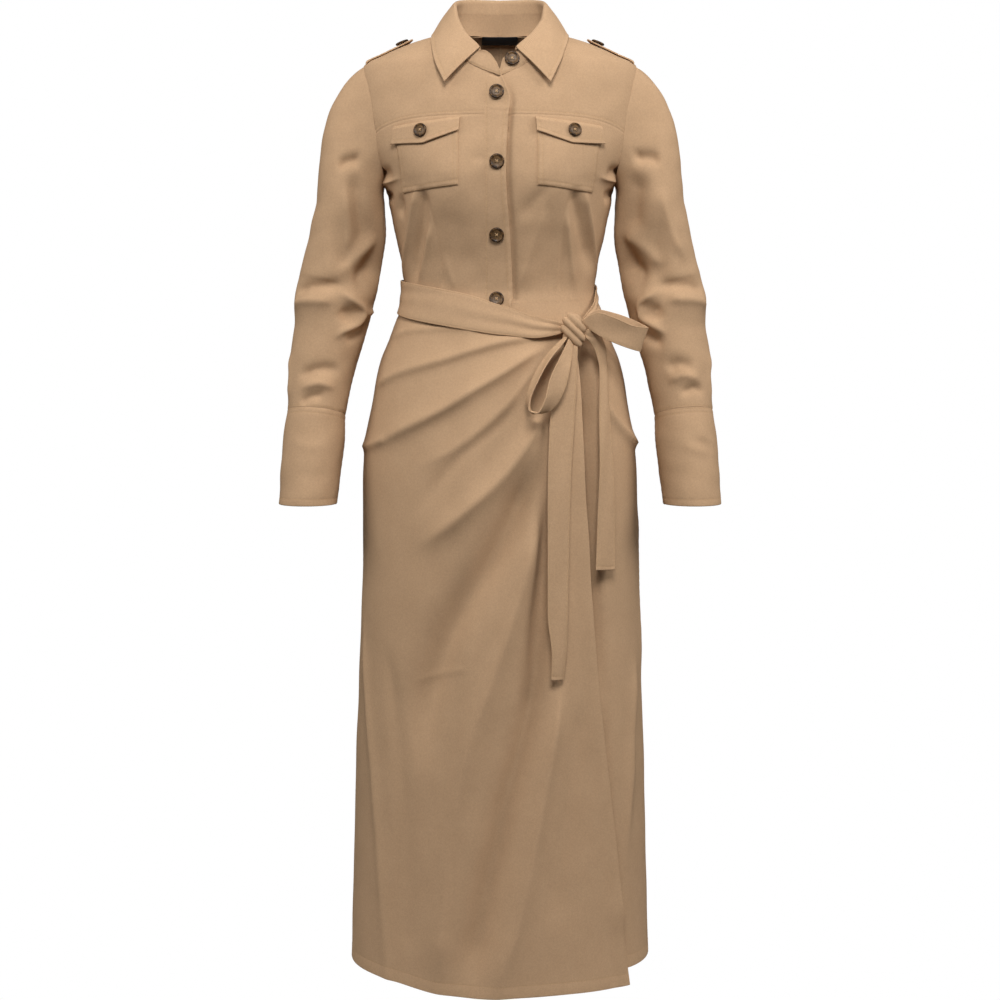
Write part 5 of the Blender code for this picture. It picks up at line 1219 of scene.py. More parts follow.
def grid_folds(grid):
    """The collar's soft folds, on shares of its grid."""
    down, along = np.meshgrid(*(np.linspace(0, 1, count) for count in grid.shape[:2]), indexing="ij")
    total = np.zeros(grid.shape[:2])
    for row in COLLAR_FOLDS:
        fold = dict(zip(COLLAR_FOLD_COLUMNS, row))
        run = np.array((fold["along_2"] - fold["along_1"], (fold["down_2"] - fold["down_1"]) * 0.15))
        off = np.stack([along - fold["along_1"], (down - fold["down_1"]) * 0.15], axis=-1)
        share = np.clip((off @ run) / (run @ run), 0, 1)
        apart = np.linalg.norm(off - share[..., None] * run, axis=-1)
        section = fold["rise"] * np.exp(-0.5 * (apart / fold["width"]) ** 2)
        total += section * (0.4 + 0.6 * np.sin(math.pi * share))
    return total * ease((down - 0.3) / 0.2)


# ---- front details
def dress_placket(cloth):
    """The band along the right front's edge, lying over both fronts."""
    heights = np.linspace(PLACKET["z"][0], PLACKET["z"][-1], 121)
    rim = read(PLACKET, "edge_x", heights)
    across = np.linspace(0, 1, 25)
    x = PLACKET_LEFT_X + (rim[:, None] - PLACKET_LEFT_X) * across[None]
    from_centre = np.abs(x[0] - CLOSING_SHIFT_X)
    seam_z = read(NECKLINE, "z", from_centre) - PLACKET_BELOW_SEAM
    down = (heights - heights[0]) / (heights[-1] - heights[0])
    z = seam_z[None] * (1 - down[:, None]) + heights[-1] * down[:, None]
    grid = np.stack([angle_at(x, z), z], axis=-1)
    edges = edged(edge("seam"), edge("plain"), edge("plain", 3.0), edge("free", 3.5))

    def lift(across, down):
        step = PLACKET_LEFT_RISE - PLACKET_RIGHT_RISE
        depth, place, slant, width = PLACKET_CREASE
        crease = depth * np.exp(-0.5 * ((down - place + slant * across) / width) ** 2) * ease(across / 0.3)
        depth, width = PLACKET_SEAM_PRINT
        yoke_seam = depth * np.exp(-((down - PLACKET_YOKE_SHARE) / width) ** 2)
        wave = PLACKET_WAVE * np.sin(14 * down + 2 * across) * across
        tucked = (LAY_GAP + PLACKET_TUCK) * (1 - ease(down / 0.05)) * (1 - 0.5 * across)
        spring = PLACKET_EDGE_SPRING * across ** 4
        return step * (1 - ease(across / 0.55)) + spring - crease - yoke_seam + wave - tucked

    laid("placket", bodice_surface, grid, edges, cloth, LAY_GAP + CLOTH, CLOTH, "placket", lift)


def outline_grid(corners, steps, side):
    """A grid between four corners, with an optional point in its lower edge."""
    top = curve_through((corners["inner_top"], corners["outer_top"]), steps[0] + 1)
    foot_corners = [corners[key] for key in ("inner_foot", "point", "outer_foot") if key in corners]
    foot_x = np.linspace(foot_corners[0][0], foot_corners[-1][0], steps[0] + 1)
    foot_z = np.interp(foot_x, [x for x, z in foot_corners], [z for x, z in foot_corners])
    foot = np.stack([foot_x, foot_z], axis=1)
    down = np.linspace(0, 1, steps[1] + 1)[:, None, None]
    seen = ((1 - down) * top[None] + down * foot[None]) * (side, 1) + (POCKET_SHIFT_X, 0)
    return np.stack([angle_at(seen[..., 0], seen[..., 1]), seen[..., 1]], axis=-1)


def dress_pockets(cloth):
    pocket_rise = CLOTH + GAP
    flap_rise = LAY_GAP + CLOTH + GAP + DOUBLE_CLOTH
    sewn = edge("sewn", 1.6, 7.0)
    pocket_edges = edged(edge("free", 6.0), sewn, sewn, sewn)
    flap_edges = edged(edge("seam", 3.0), edge("free", 5.0), edge("free", 5.0), edge("free", 5.0))
    for side, hand in ((1, "left"), (-1, "right")):
        def sag(across, down, side=side):
            """The pocket stands a little off the front, more in the middle."""
            bow = POCKET_BOW * np.sin(math.pi * across) * np.sin(math.pi * down)
            return bow + POCKET_WAVE * np.sin(9 * across + 7 * down + side)

        def open_flap(across, down, side=side):
            """The flap springs open towards its point."""
            wave = FLAP_WAVE * np.sin(8 * across + side) * down
            return FLAP_SPRING * down ** 2 + wave - FLAP_PRESS * (1 - ease(down / 0.25))

        laid("pocket_" + hand, bodice_surface, outline_grid(POCKET_OUTLINE, (60, 60), side), pocket_edges,
             cloth, pocket_rise, CLOTH, "pockets", sag)
        laid("pocket_flap_" + hand, bodice_surface, outline_grid(FLAP_OUTLINE, (72, 30), side), flap_edges,
             cloth, flap_rise, DOUBLE_CLOTH, "pockets", open_flap)


def dress_label(black):
    """A blank woven label inside the back neck, across the centre-back seam."""
    x = np.linspace(-LABEL_WIDTH / 2, LABEL_WIDTH / 2, 41)
    heights = BACK_NECK_Z - LABEL_DROP - np.linspace(0, LABEL_HEIGHT, 17)
    xx, zz = np.meshgrid(x, heights)
    grid = np.stack([180 - angle_at(xx, zz), zz], axis=-1)
    edges = edged(edge("free"), edge("free"), edge("free", 1.2), edge("free", 1.2))
    laid("neck_label", body_form, grid, edges, black, -CLOTH - LABEL_GAP, LABEL_CLOTH)


# ---- sleeves
def arm_rings(heights, columns):
    """Level rings square to the arm, for the left sleeve."""
    x, y, half_width, half_depth = read_all(SLEEVE, heights)
    centre = np.stack([x, y, heights], axis=1)
    below = heights - 5
    ahead = np.stack([read(SLEEVE, "x", below), read(SLEEVE, "y", below), below], axis=1)
    axis = unit(ahead - centre)
    outer = unit(np.array((1, 0, 0)) - axis * axis[:, :1])
    front = unit(np.array((0, -1, 0)) + axis * axis[:, 1:2])
    turn = np.linspace(0, 2 * math.pi, columns, endpoint=False)
    return (centre[:, None] + (half_width[:, None] * np.cos(turn))[..., None] * outer[:, None]
            + (half_depth[:, None] * np.sin(turn))[..., None] * front[:, None]), axis


def round_arm():
    """Turns round the sleeve from its seam, at the inner side, and back to it."""
    return np.linspace(180, 540, SLEEVE_COLUMNS_ROUND + 1)


def armhole_at(turns):
    """Places on the left armhole that the turns round the sleeve meet: 0 is the shoulder tip."""
    front = armhole(ARMHOLE_REACH_FRONT)
    back = armhole(-ARMHOLE_REACH_BACK)
    steps = ARMHOLE_YOKE_STEPS + ARMHOLE_LOWER_STEPS
    shares = np.linspace(0, 180, steps + 1)
    turns = np.mod(turns, 360)
    from_tip = np.where(turns > 180, 360 - turns, turns)
    found = [np.where(turns > 180, np.interp(from_tip, shares, back[:, part]),
                      np.interp(from_tip, shares, front[:, part])) for part in (0, 1)]
    return np.stack(found, axis=1)


def tube_fold_rise(grid, turns, folds):
    """Folds of a sleeve, on its unrolled surface."""
    scale = np.array((math.radians(1) * ARM_RADIUS, 1))
    flat = np.stack([np.broadcast_to(turns, grid.shape[:2]).ravel(), grid[..., 2].ravel()], axis=1) * scale
    total = np.zeros(len(flat))
    for row in folds:
        fold = dict(zip(FOLD_COLUMNS, row))
        line = curve_through(fold["path"], FOLD_STEPS + 1)
        for whole in (0, 360):
            along, across, run, apart = beside_path(flat, (line + (whole, 0)) * scale)
            side = run[:, 0] * apart[:, 1] - run[:, 1] * apart[:, 0]
            width = fold_width(fold, side, run, ARM_FOLD_SIDE_BLEND)
            fade = ease(along / fold["end"]) * ease((1 - along) / fold["end"])
            total += fade * fold_section(across / width, fold["rise"])
    return total.reshape(grid.shape[:2])


def away_from_arm(points):
    """The way that is out from the arm, for sleeve pieces."""
    return points - points.mean(axis=1, keepdims=True)


def plain_sleeve():
    """The left sleeve without folds: the cap from the armhole to the first level ring, then the arm."""
    turns = round_arm()
    ring = armhole_at(turns)
    start, out = with_normals(body_form, ring[:, 0], ring[:, 1])
    _, (arm,) = arm_rings(SLEEVE["z"][:1], 4)
    bicep = arm_points(SLEEVE["z"][:1], turns)[0]
    along = np.gradient(start, axis=0)
    across = unit(np.cross(along, out))
    across = across * np.sign(across @ np.array((1.0, 0, -0.5)))[:, None]
    flush = CAP_FLUSH * np.abs(np.sin(np.radians(turns)))[:, None]
    leave = unit((out * CAP_OUTWARD + arm) * (1 - flush) + across * flush)
    span = np.linalg.norm(bicep - start, axis=1)[:, None]
    under = (1 - np.cos(np.radians(turns)))[:, None] / 2
    fullness = CAP_FULLNESS * (1 - under) + UNDERARM_FULLNESS * under
    begin = start - out * SLEEVE_SET_IN
    rings = []
    for share in np.linspace(0, 1, SLEEVE_CAP_ROWS + 1)[:-1]:
        rings.append((1 + 2 * share) * (1 - share) ** 2 * begin
                     + share * (1 - share) ** 2 * leave * span * fullness
                     + share ** 2 * (3 - 2 * share) * bicep
                     + share ** 2 * (share - 1) * arm * span * fullness)
    level = arm_points(np.linspace(SLEEVE["z"][0], CUFF_TOP_Z, SLEEVE_ARM_ROWS + 1), turns)
    return np.concatenate([np.stack(rings), level])


def arm_points(heights, turns):
    """Rings square to the arm, read at the given turns."""
    whole, _ = arm_rings(heights, ARM_READINGS)
    number = np.mod(turns, 360) * ARM_READINGS / 360
    low = np.floor(number).astype(int) % ARM_READINGS
    share = (number - np.floor(number))[None, :, None]
    return whole[:, low] * (1 - share) + whole[:, (low + 1) % ARM_READINGS] * share


def dress_sleeves(cloth):
    turns = round_arm()
    arm = plain_sleeve()
    cuff = arm_points(np.linspace(CUFF_TOP_Z - SEAM_GAP, CUFF_FOOT_Z, CUFF_ROWS + 1), turns)
    arm_edges = edged(edge("joined"), edge("seam", 2.0), edge("seam"), edge("seam"))
    cuff_edges = edged(edge("seam", 2.2, 7.5), edge("free", 9.0), edge("seam"), edge("seam"))
    seam_free = ease(np.minimum(turns - 180, 540 - turns) / ARM_SEAM_CALM)
    for side, hand in ((1, "left"), (-1, "right")):
        for name, plain, edges, thickness, (first, last) in (
                ("sleeve_" + hand, arm, arm_edges, CLOTH, SLEEVE_CALM),
                ("cuff_" + hand, cuff, cuff_edges, DOUBLE_CLOTH, CUFF_CALM)):
            round_it = np.radians(turns)[None] * ARM_RADIUS
            rise = tube_fold_rise(plain, turns, ARM_FOLDS[name])
            rise = rise + ripple(round_it, plain[..., 2], 20 + side, *SLEEVE_RIPPLE)
            down = reached_along(plain, 0)
            ends = ease(down / first) * ease((down[-1:] - down) / last)
            rise = rise * ends * seam_free[None]
            middle = plain + outward_normals(plain) * (rise - thickness / 2)[..., None]
            banded(name, middle * (side, 1, 1), away_from_arm, edges, cloth, thickness, "sleeves")


# ---- epaulettes
def shoulder_height(x, y):
    """The height of the shoulder at a place seen from above."""
    low = np.full(np.shape(x), SHOULDER_LOWEST)
    high = np.full(np.shape(x), BODY["z"][0])
    for _ in range(40):
        z = (low + high) / 2
        inside = share_of_section(x, y, z) < 1
        low = np.where(inside, z, low)
        high = np.where(inside, high, z)
    return (low + high) / 2


def dress_epaulettes(cloth):
    along = np.linspace(EPAULETTE["x"][0], EPAULETTE["x"][-1], 70)
    half_width = np.interp(-along, -EPAULETTE["x"], EPAULETTE["half_width"])
    rise = read(EPAULETTE, "rise", along)
    across = np.linspace(-1, 1, 31)
    x = np.repeat(along[:, None], len(across), axis=1)
    y = half_width[:, None] * across[None]
    lift = GAP + EPAULETTE_LIFT + DOUBLE_CLOTH / 2 + rise[:, None]
    points = np.stack([x, y, shoulder_height(x, y)], axis=-1)
    normals = grid_normals(points)
    normals *= np.sign(normals[..., 2])[..., None]
    middle = points + normals * lift[..., None]
    edges = edged(edge("seam"), edge("free"), edge("free", 4.0), edge("free", 4.0))
    for side, hand in ((1, "left"), (-1, "right")):
        banded("epaulette_" + hand, middle * (side, 1, 1), lambda at: np.broadcast_to((0, 0, 1.0), at.shape),
               edges, cloth, DOUBLE_CLOTH, "epaulettes")
    return normals[int(np.abs(along - EPAULETTE_BUTTON_X).argmin()), len(across) // 2]


# ---- skirt
def skirt_grid(top, foot, left_angle, right_angle):
    """Rows of (angle, z) between a top edge and a hem."""
    down = np.linspace(0, 1, len(left_angle))[:, None]
    across = np.linspace(0, 1, len(top))[None]
    z = top[None, :, 1] * (1 - down) + foot[None, :, 1] * down
    angle = left_angle[:, None] * (1 - across) + right_angle[:, None] * across
    return np.stack([angle, z], axis=-1)


def skirt_edges(left, right):
    return edged(edge("plain"), edge("hem", HEM_DEPTH), left, right)


def dress_wrap(cloth):
    down = np.linspace(0, 1, SKIRT_ROWS + 1)
    edge_top, edge_foot = WRAP_EDGE["z"][[0, -1]]
    edge_z = edge_top + (edge_foot - edge_top) * down
    edge_angle = angle_at(read(WRAP_EDGE, "x", edge_z), edge_z)
    across = np.linspace(0, 1, SKIRT_STEPS + 1)
    top_angle = -90 + (edge_angle[0] + 90) * across
    top_x = body_form(top_angle, waist_z(top_angle))[:, 0]
    top_z = np.minimum(read(WRAP_TOP, "z", top_x), waist_z(top_angle))
    foot_angle = -90 + (edge_angle[-1] + 90) * across
    foot_x = body_form(foot_angle, np.full(len(across), edge_foot))[:, 0]
    foot_z = read(WRAP_HEM, "z", foot_x)
    grid = skirt_grid(places(top_angle, top_z), places(foot_angle, foot_z),
                      np.full(SKIRT_ROWS + 1, -90.0), edge_angle)
    laid("skirt_wrap", wrap_surface, grid, skirt_edges(edge("seam"), edge("free")), cloth, region="hem")


def dress_under(cloth):
    down = np.linspace(0, 1, SKIRT_ROWS + 1)
    edge_z = waist_z(0) + (UNDER_HEM_Z - waist_z(0)) * down
    edge_angle = angle_at(np.full(len(down), float(UNDER_EDGE_X)), edge_z)
    across = np.linspace(0, 1, SKIRT_STEPS + 1)
    top_angle = edge_angle[0] + (90 - edge_angle[0]) * across
    foot = places(top_angle, np.full(len(across), UNDER_HEM_Z))
    top = places(top_angle, waist_z(top_angle))
    grid = skirt_grid(top, foot, edge_angle, np.full(SKIRT_ROWS + 1, 90.0))
    laid("skirt_under", under_surface, grid, skirt_edges(edge("plain"), edge("seam")), cloth, region="hem")


def dress_back_skirt(cloth):
    angle = 90 + 180 * np.linspace(0, 1, SKIRT_STEPS + 1)
    grid = skirt_grid(places(angle, waist_z(angle)), places(angle, np.full(len(angle), BACK_HEM_Z)),
                      np.full(SKIRT_ROWS + 1, 90.0), np.full(SKIRT_ROWS + 1, 270.0))
    laid("skirt_back", back_surface, grid, skirt_edges(edge("seam"), edge("seam")), cloth, region="hem")


# ---- sash
def knot_surface(rays, gap=0.0):
    """The knot: a firm lump with the wound turns of the band standing out across it."""
    along = rays[..., 0] * KNOT_SLANT[0] + rays[..., 2] * KNOT_SLANT[1]
    phase = math.pi * KNOT_TURNS * (along + KNOT_TURN_START)
    wound = 1 - 2 * (1 - np.abs(np.sin(phase)) ** 0.7)
    rise = KNOT_TURN_RISE / KNOT_HALF[0] * wound * np.sqrt(np.clip(1 - rays[..., 2] ** 2, 0, 1))
    bulge = sum(height * np.exp(-((rays - way) ** 2).sum(axis=-1) / KNOT_BULGE_SPREAD)
                for way, height in KNOT_BULGES)
    reach = np.array(KNOT_HALF) * (1 + rise[..., None]) + bulge[..., None] + gap
    return np.array(KNOT_CENTRE) + rays * reach


def meet_knot(points, gap):
    """Draw the end of a band in or out until it just touches the knot."""
    rays = unit((points - KNOT_CENTRE) / KNOT_HALF)
    return knot_surface(rays, gap)


def dress_sash_band(node, table, cloth, deepest, shallow):
    reached = np.arange(len(table["angle"]), dtype=float)
    walk = np.linspace(0, reached[-1], 161)
    angle, top, foot, out = (smooth(walk, reached, values) for values in table.values())
    down = np.linspace(0, 1, 41)[:, None]
    z = top[None] * (1 - down) + foot[None] * down
    points, normals = with_normals(body_form, np.repeat(angle[None], len(down), axis=0), z)
    share = walk / walk[-1]
    depth = shallow + (deepest - shallow) * ease((share - 0.25) / 0.7)
    pleat = np.sin(2 * math.pi * (PLEATS * down + 0.35 * np.sin(3 * share)[None] + 0.1))
    pleat = pleat * np.sin(math.pi * down) ** 0.5 * (0.8 + 0.2 * np.sin(9 * share + 4 * down))
    bow = (1.2 * np.sin(math.pi * down) - SASH_TUCK * down ** 2) * (1 - share)
    rise = (out - DOUBLE_CLOTH / 2)[None, :] + pleat * depth[None] + bow - 0.3 * depth[None]
    middle = points + normals * rise[..., None]
    end = meet_knot(middle[:, -1], BAND_SEAT)
    pull = ease((share - (1 - BAND_END_SHARE)) / BAND_END_SHARE)[None, :, None]
    middle = middle + (end - middle[:, -1])[:, None] * pull
    edges = edged(edge("free", 1.6), edge("free", 1.6), edge("plain"), edge("plain"))
    banded(node, middle, lambda at: at * (1, 1, 0), edges, cloth, DOUBLE_CLOTH, "sash")


def dress_knot(cloth):
    rings = 64
    sides = 96
    tilt, turn = np.meshgrid(np.linspace(0.02, math.pi - 0.02, rings),
                             np.linspace(0, 2 * math.pi, sides, endpoint=False), indexing="ij")
    rays = np.stack([np.sin(tilt) * np.cos(turn), np.sin(tilt) * np.sin(turn), np.cos(tilt)], axis=-1)
    points = knot_surface(rays)
    number = np.arange(rings * sides).reshape(rings, sides)
    after = np.roll(number, -1, axis=1)
    faces = np.stack([number[:-1], after[:-1], after[1:], number[1:]], axis=-1).reshape(-1, 4).tolist()
    faces += [list(number[0][::-1]), list(number[-1])]
    uv = np.stack([turn * KNOT_HALF[0], tilt * KNOT_HALF[2]], axis=-1).reshape(-1, 2)
    knot = add_mesh("cloth_sash_knot", points.reshape(-1, 3), faces, cloth, uv, 70)
    return dress_as(knot, "sash_knot")


def dress_loop(node, table, cloth, cup, facing, seed):
    rails = curve_through(table, 241)
    across = np.linspace(0, 1, 31)[None, :, None]
    points = rails[:, None, :3] * (1 - across) + rails[:, None, 3:] * across
    normals = grid_normals(points)
    bow = cup * (1 - (2 * across[..., 0] - 1) ** 2)
    wave = TIE_WAVE * np.sin(5 * across[..., 0] + np.linspace(0, 14, len(points))[:, None] + seed)
    fade = np.sin(np.linspace(0, math.pi, len(points)))[:, None] ** 0.5
    points = points + normals * ((bow + wave) * fade)[..., None]
    start = meet_knot(points[0], LOOP_SEAT)
    end = meet_knot(points[-1], LOOP_SEAT)
    share = np.linspace(0, 1, len(points))[:, None, None]
    points = (points + (start - points[0])[None] * ease(1 - share / TIE_END_SHARE)
              + (end - points[-1])[None] * ease((share - (1 - TIE_END_SHARE)) / TIE_END_SHARE))
    edges = edged(edge("plain"), edge("plain"), edge("free", 1.8), edge("free", 1.8))
    banded(node, points, facing, edges, cloth, FACED_CLOTH, "sash")


def dress_tail(node, table, cloth, cup, seed):
    """A tie that hangs in front of the skirt."""
    line = curve_through(table, 201)
    x, z, half_width, before, turn = line.T
    middle = body_form(angle_at(x, z), z) - before[:, None] * (0, 1, 0)
    along = unit(np.gradient(middle, axis=0))
    swing = np.radians(turn)
    side = np.stack([np.cos(swing), np.sin(swing), np.zeros(len(swing))], axis=1)
    side = unit(side - along * np.einsum("ij,ij->i", side, along)[:, None])
    across = np.linspace(-1, 1, 25)
    points = middle[:, None] + side[:, None] * (half_width[:, None] * across[None])[..., None]
    normals = unit(np.cross(side, along))
    normals = normals * -np.sign(normals[:, 1:2])
    fall = np.linspace(0, 1, len(points))[:, None]
    bow = (cup * (1 - across[None] ** 2) * (1 - 0.5 * fall)
           + TIE_WAVE * np.sin(3 * across[None] + 13 * fall + seed)
           + TIE_END_CUP * np.abs(across[None]) * np.exp(-fall / TIE_END_SHARE))
    points = points + normals[:, None] * bow[..., None]
    start = meet_knot(points[0], BAND_SEAT)
    points = points + (start - points[0])[None] * ease(1 - fall / TIE_END_SHARE)[..., None]
    edges = edged(edge("plain"), edge("free", 5.0), edge("free", 2.0), edge("free", 2.0))
    banded(node, points, lambda at: np.broadcast_to((0, -1.0, 0), at.shape), edges, cloth, FACED_CLOTH,
           "sash")


# ---- buttons
def drum_faces(sides):
    """Walls and caps between a ring of points and the ring that follows it."""
    walls = [(side, (side + 1) % sides, sides + (side + 1) % sides, sides + side) for side in range(sides)]
    return walls + [tuple(range(sides - 1, -1, -1)), tuple(range(sides, 2 * sides))]


def button_mesh(name, radius, horn):
    """A turned four-hole button with a raised rim; its back lies at z = 0."""
    rings = BUTTON_PROFILE[1:-1]
    vertices = [(0, 0, 0), (0, 0, BUTTON_PROFILE[-1][1] * radius)]
    for share, height in rings:
        for side in range(BUTTON_SIDES):
            turn = 2 * math.pi * side / BUTTON_SIDES
            out = share * radius
            vertices.append((out * math.cos(turn), out * math.sin(turn), height * radius))
    faces = []
    for side in range(BUTTON_SIDES):
        after = (side + 1) % BUTTON_SIDES
        faces.append((0, 2 + after, 2 + side))
        for ring in range(len(rings) - 1):
            low = 2 + ring * BUTTON_SIDES
            high = low + BUTTON_SIDES
            faces.append((low + side, low + after, high + after, high + side))
        last = 2 + (len(rings) - 1) * BUTTON_SIDES
        faces.append((last + side, last + after, 1))
    turned = add_mesh(name, vertices, faces, horn, None, BUTTON_SHARP)
    drills = []
    for x, y in ((1, 1), (1, -1), (-1, 1), (-1, -1)):
        ring = [(radius * (x * HOLE_OFFSET + HOLE_RADIUS * math.cos(turn)),
                 radius * (y * HOLE_OFFSET + HOLE_RADIUS * math.sin(turn)))
                for turn in np.linspace(0, 2 * math.pi, HOLE_SIDES, endpoint=False)]
        points = [(a, b, -radius) for a, b in ring] + [(a, b, radius) for a, b in ring]
        drill = add_mesh("drill", points, drum_faces(HOLE_SIDES), horn)
        cut = turned.modifiers.new("hole", "BOOLEAN")
        cut.object = drill
        cut.operation = "DIFFERENCE"
        cut.solver = "EXACT"
        drills.append(drill)
    drilled = bpy.data.meshes.new_from_object(turned.evaluated_get(bpy.context.evaluated_depsgraph_get()))
    for item in (turned, *drills):
        bpy.data.objects.remove(item, do_unlink=True)
    drilled.set_sharp_from_angle(angle=math.radians(BUTTON_SHARP))
    return drilled


def thread_mesh(radius, thread):
    """The sewing of a button: a cross of thread through its holes."""
    vertices = []
    faces = []
    for number, way in enumerate((-1, 1)):
        base = len(vertices)
        for step in np.linspace(-1, 1, SEWING_RINGS):
            x = step * HOLE_OFFSET * radius
            z = (0.2 + (0.05 + 0.05 * number) * (1 - step ** 4)) * radius
            for turn in np.linspace(0, 2 * math.pi, SEWING_SIDES, endpoint=False):
                aside = SEWING_HALF_WIDTH * math.cos(turn)
                up = SEWING_HALF_HEIGHT * math.sin(turn)
                vertices.append((x + aside, way * x - way * aside, z - 0.3 + up))
        for ring in range(SEWING_RINGS - 1):
            for side in range(SEWING_SIDES):
                after = (side + 1) % SEWING_SIDES
                low = base + ring * SEWING_SIDES
                high = low + SEWING_SIDES
                faces.append((low + side, low + after, high + after, high + side))
        last = base + (SEWING_RINGS - 1) * SEWING_SIDES
        faces.append(tuple(base + side for side in range(SEWING_SIDES - 1, -1, -1)))
        faces.append(tuple(last + side for side in range(SEWING_SIDES)))
    shape = add_mesh("button_thread", vertices, faces, thread)
    mesh = shape.data
    bpy.data.objects.remove(shape, do_unlink=True)
    return mesh


def place_button(node, mesh, thread, radius, facing, seat=None):
    """Seat a button on the cloth, or on the place of its solid, facing the given way."""
    low, high = (np.array(corner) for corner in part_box(node))
    facing = Vector(facing).normalized()
    if seat is None:
        seat = Vector((low + high) / 2) - facing * BUTTON_HEIGHT / 2 * radius * MM
    turn = facing.to_track_quat("Z", "Y")
    for name, data in (("horn_" + node, mesh), ("sewing_" + node, thread)):
        body = bpy.data.objects.new(name, data)
        body.rotation_mode = "QUATERNION"
        body.rotation_quaternion = turn
        body.location = seat
        bpy.context.scene.collection.objects.link(body)
        if name.startswith("horn_"):
            dress_as(body, node)
        else:
            dress_as(body, None)


def dress_buttons(horn, thread, stand, epaulette_facing):
    large = (button_mesh("turned_button", BUTTON_RADIUS, horn), thread_mesh(BUTTON_RADIUS, thread),
             BUTTON_RADIUS)
    small = (button_mesh("turned_button_small", POCKET_BUTTON_RADIUS, horn),
             thread_mesh(POCKET_BUTTON_RADIUS, thread), POCKET_BUTTON_RADIUS)
    facings = {}
    seats = {}
    facing = grid_normals(stand)[len(stand) // 2, -round(1.5 * COLLAR_STEPS / 2)]
    facings["button_1"] = facing * -np.sign(facing[1])
    for node in ("button_2", "button_3", "button_4", "button_5", "pocket_button_left", "pocket_button_right"):
        low, high = (np.array(corner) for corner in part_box(node))
        middle = (low + high) / 2 / MM
        at = middle[[0]], middle[[2]]
        plain, out = with_normals(bodice_surface, angle_at(*at), at[1])
        facings[node] = out[0]
        rise = POCKET_BUTTON_SEAT if node.startswith("pocket") else FRONT_BUTTON_SEAT
        seats[node] = Vector(((plain[0] + out[0] * rise) * MM).tolist())
    for side, hand in ((1, "left"), (-1, "right")):
        facings["epaulette_button_" + hand] = epaulette_facing * (side, 1, 1)
    for node, out in facings.items():
        place_button(node, *(large if node.startswith("button") else small), out, seats.get(node))


def dress_stitches(thread):
    triangles = np.array([face for face in STITCH_FACES if len(face) == 3])
    quads = np.array([face for face in STITCH_FACES if len(face) == 4])
    for region, parts in stitch_vertices.items():
        points = np.concatenate(parts)
        step = (np.arange(len(points)) * points.shape[1])[:, None, None]
        faces = (triangles[None] + step).reshape(-1, 3).tolist()
        faces += (quads[None] + step).reshape(-1, 4).tolist()
        piece = add_mesh("stitches_" + region, points.reshape(-1, 3), faces, thread, None, 80)
        dress_as(piece, None)


# ---- materials
def srgb(code):
    """A colour given as an sRGB hex code, as the linear values that shaders use."""
    parts = [int(code[place:place + 2], 16) / 255 for place in (0, 2, 4)]
    return (*(part / 12.92 if part <= 0.04045 else ((part + 0.055) / 1.055) ** 2.4 for part in parts), 1.0)


def add_node(tree, kind, links=None, **settings):
    """Add a node, or take the one that is there, with its settings and links.

    A setting whose name starts with a capital is a socket's value, any other is the node's own.
    """
    node = tree.nodes.get(kind) or tree.nodes.new(kind)
    for name, value in settings.items():
        if name[0].isupper():
            node.inputs[name.replace("_", " ")].default_value = value
        else:
            setattr(node, name, value)
    for name, source in (links or {}).items():
        tree.links.new(source, node.inputs[name])
    return node


def new_material(name):
    material = bpy.data.materials.new(name)
    material.use_nodes = True
    return material, material.node_tree


TWILL_PALE = "C19F7D"
TWILL_DEEP = "B99775"
TWILL_SPACING = 0.0011      # metres between ribs; the cloth's own 0.6 mm is too fine to show
TWILL_TURN = 63             # degrees, the slope of a steep twill
LABEL_SPACING = 0.0007      # metres between the label's threads
WAVE_SCALE = 0.314159       # a wave texture's bands are this far apart at scale 1, in metres
HORN_TONES = ((0.35, "1B110A"), (0.52, "3A2614"), (0.72, "765836"))
HORN_PALE_FROM = 0.0045     # metres from the button's middle, where its paler middle starts to fade
HORN_PALE_TO = 0.0075


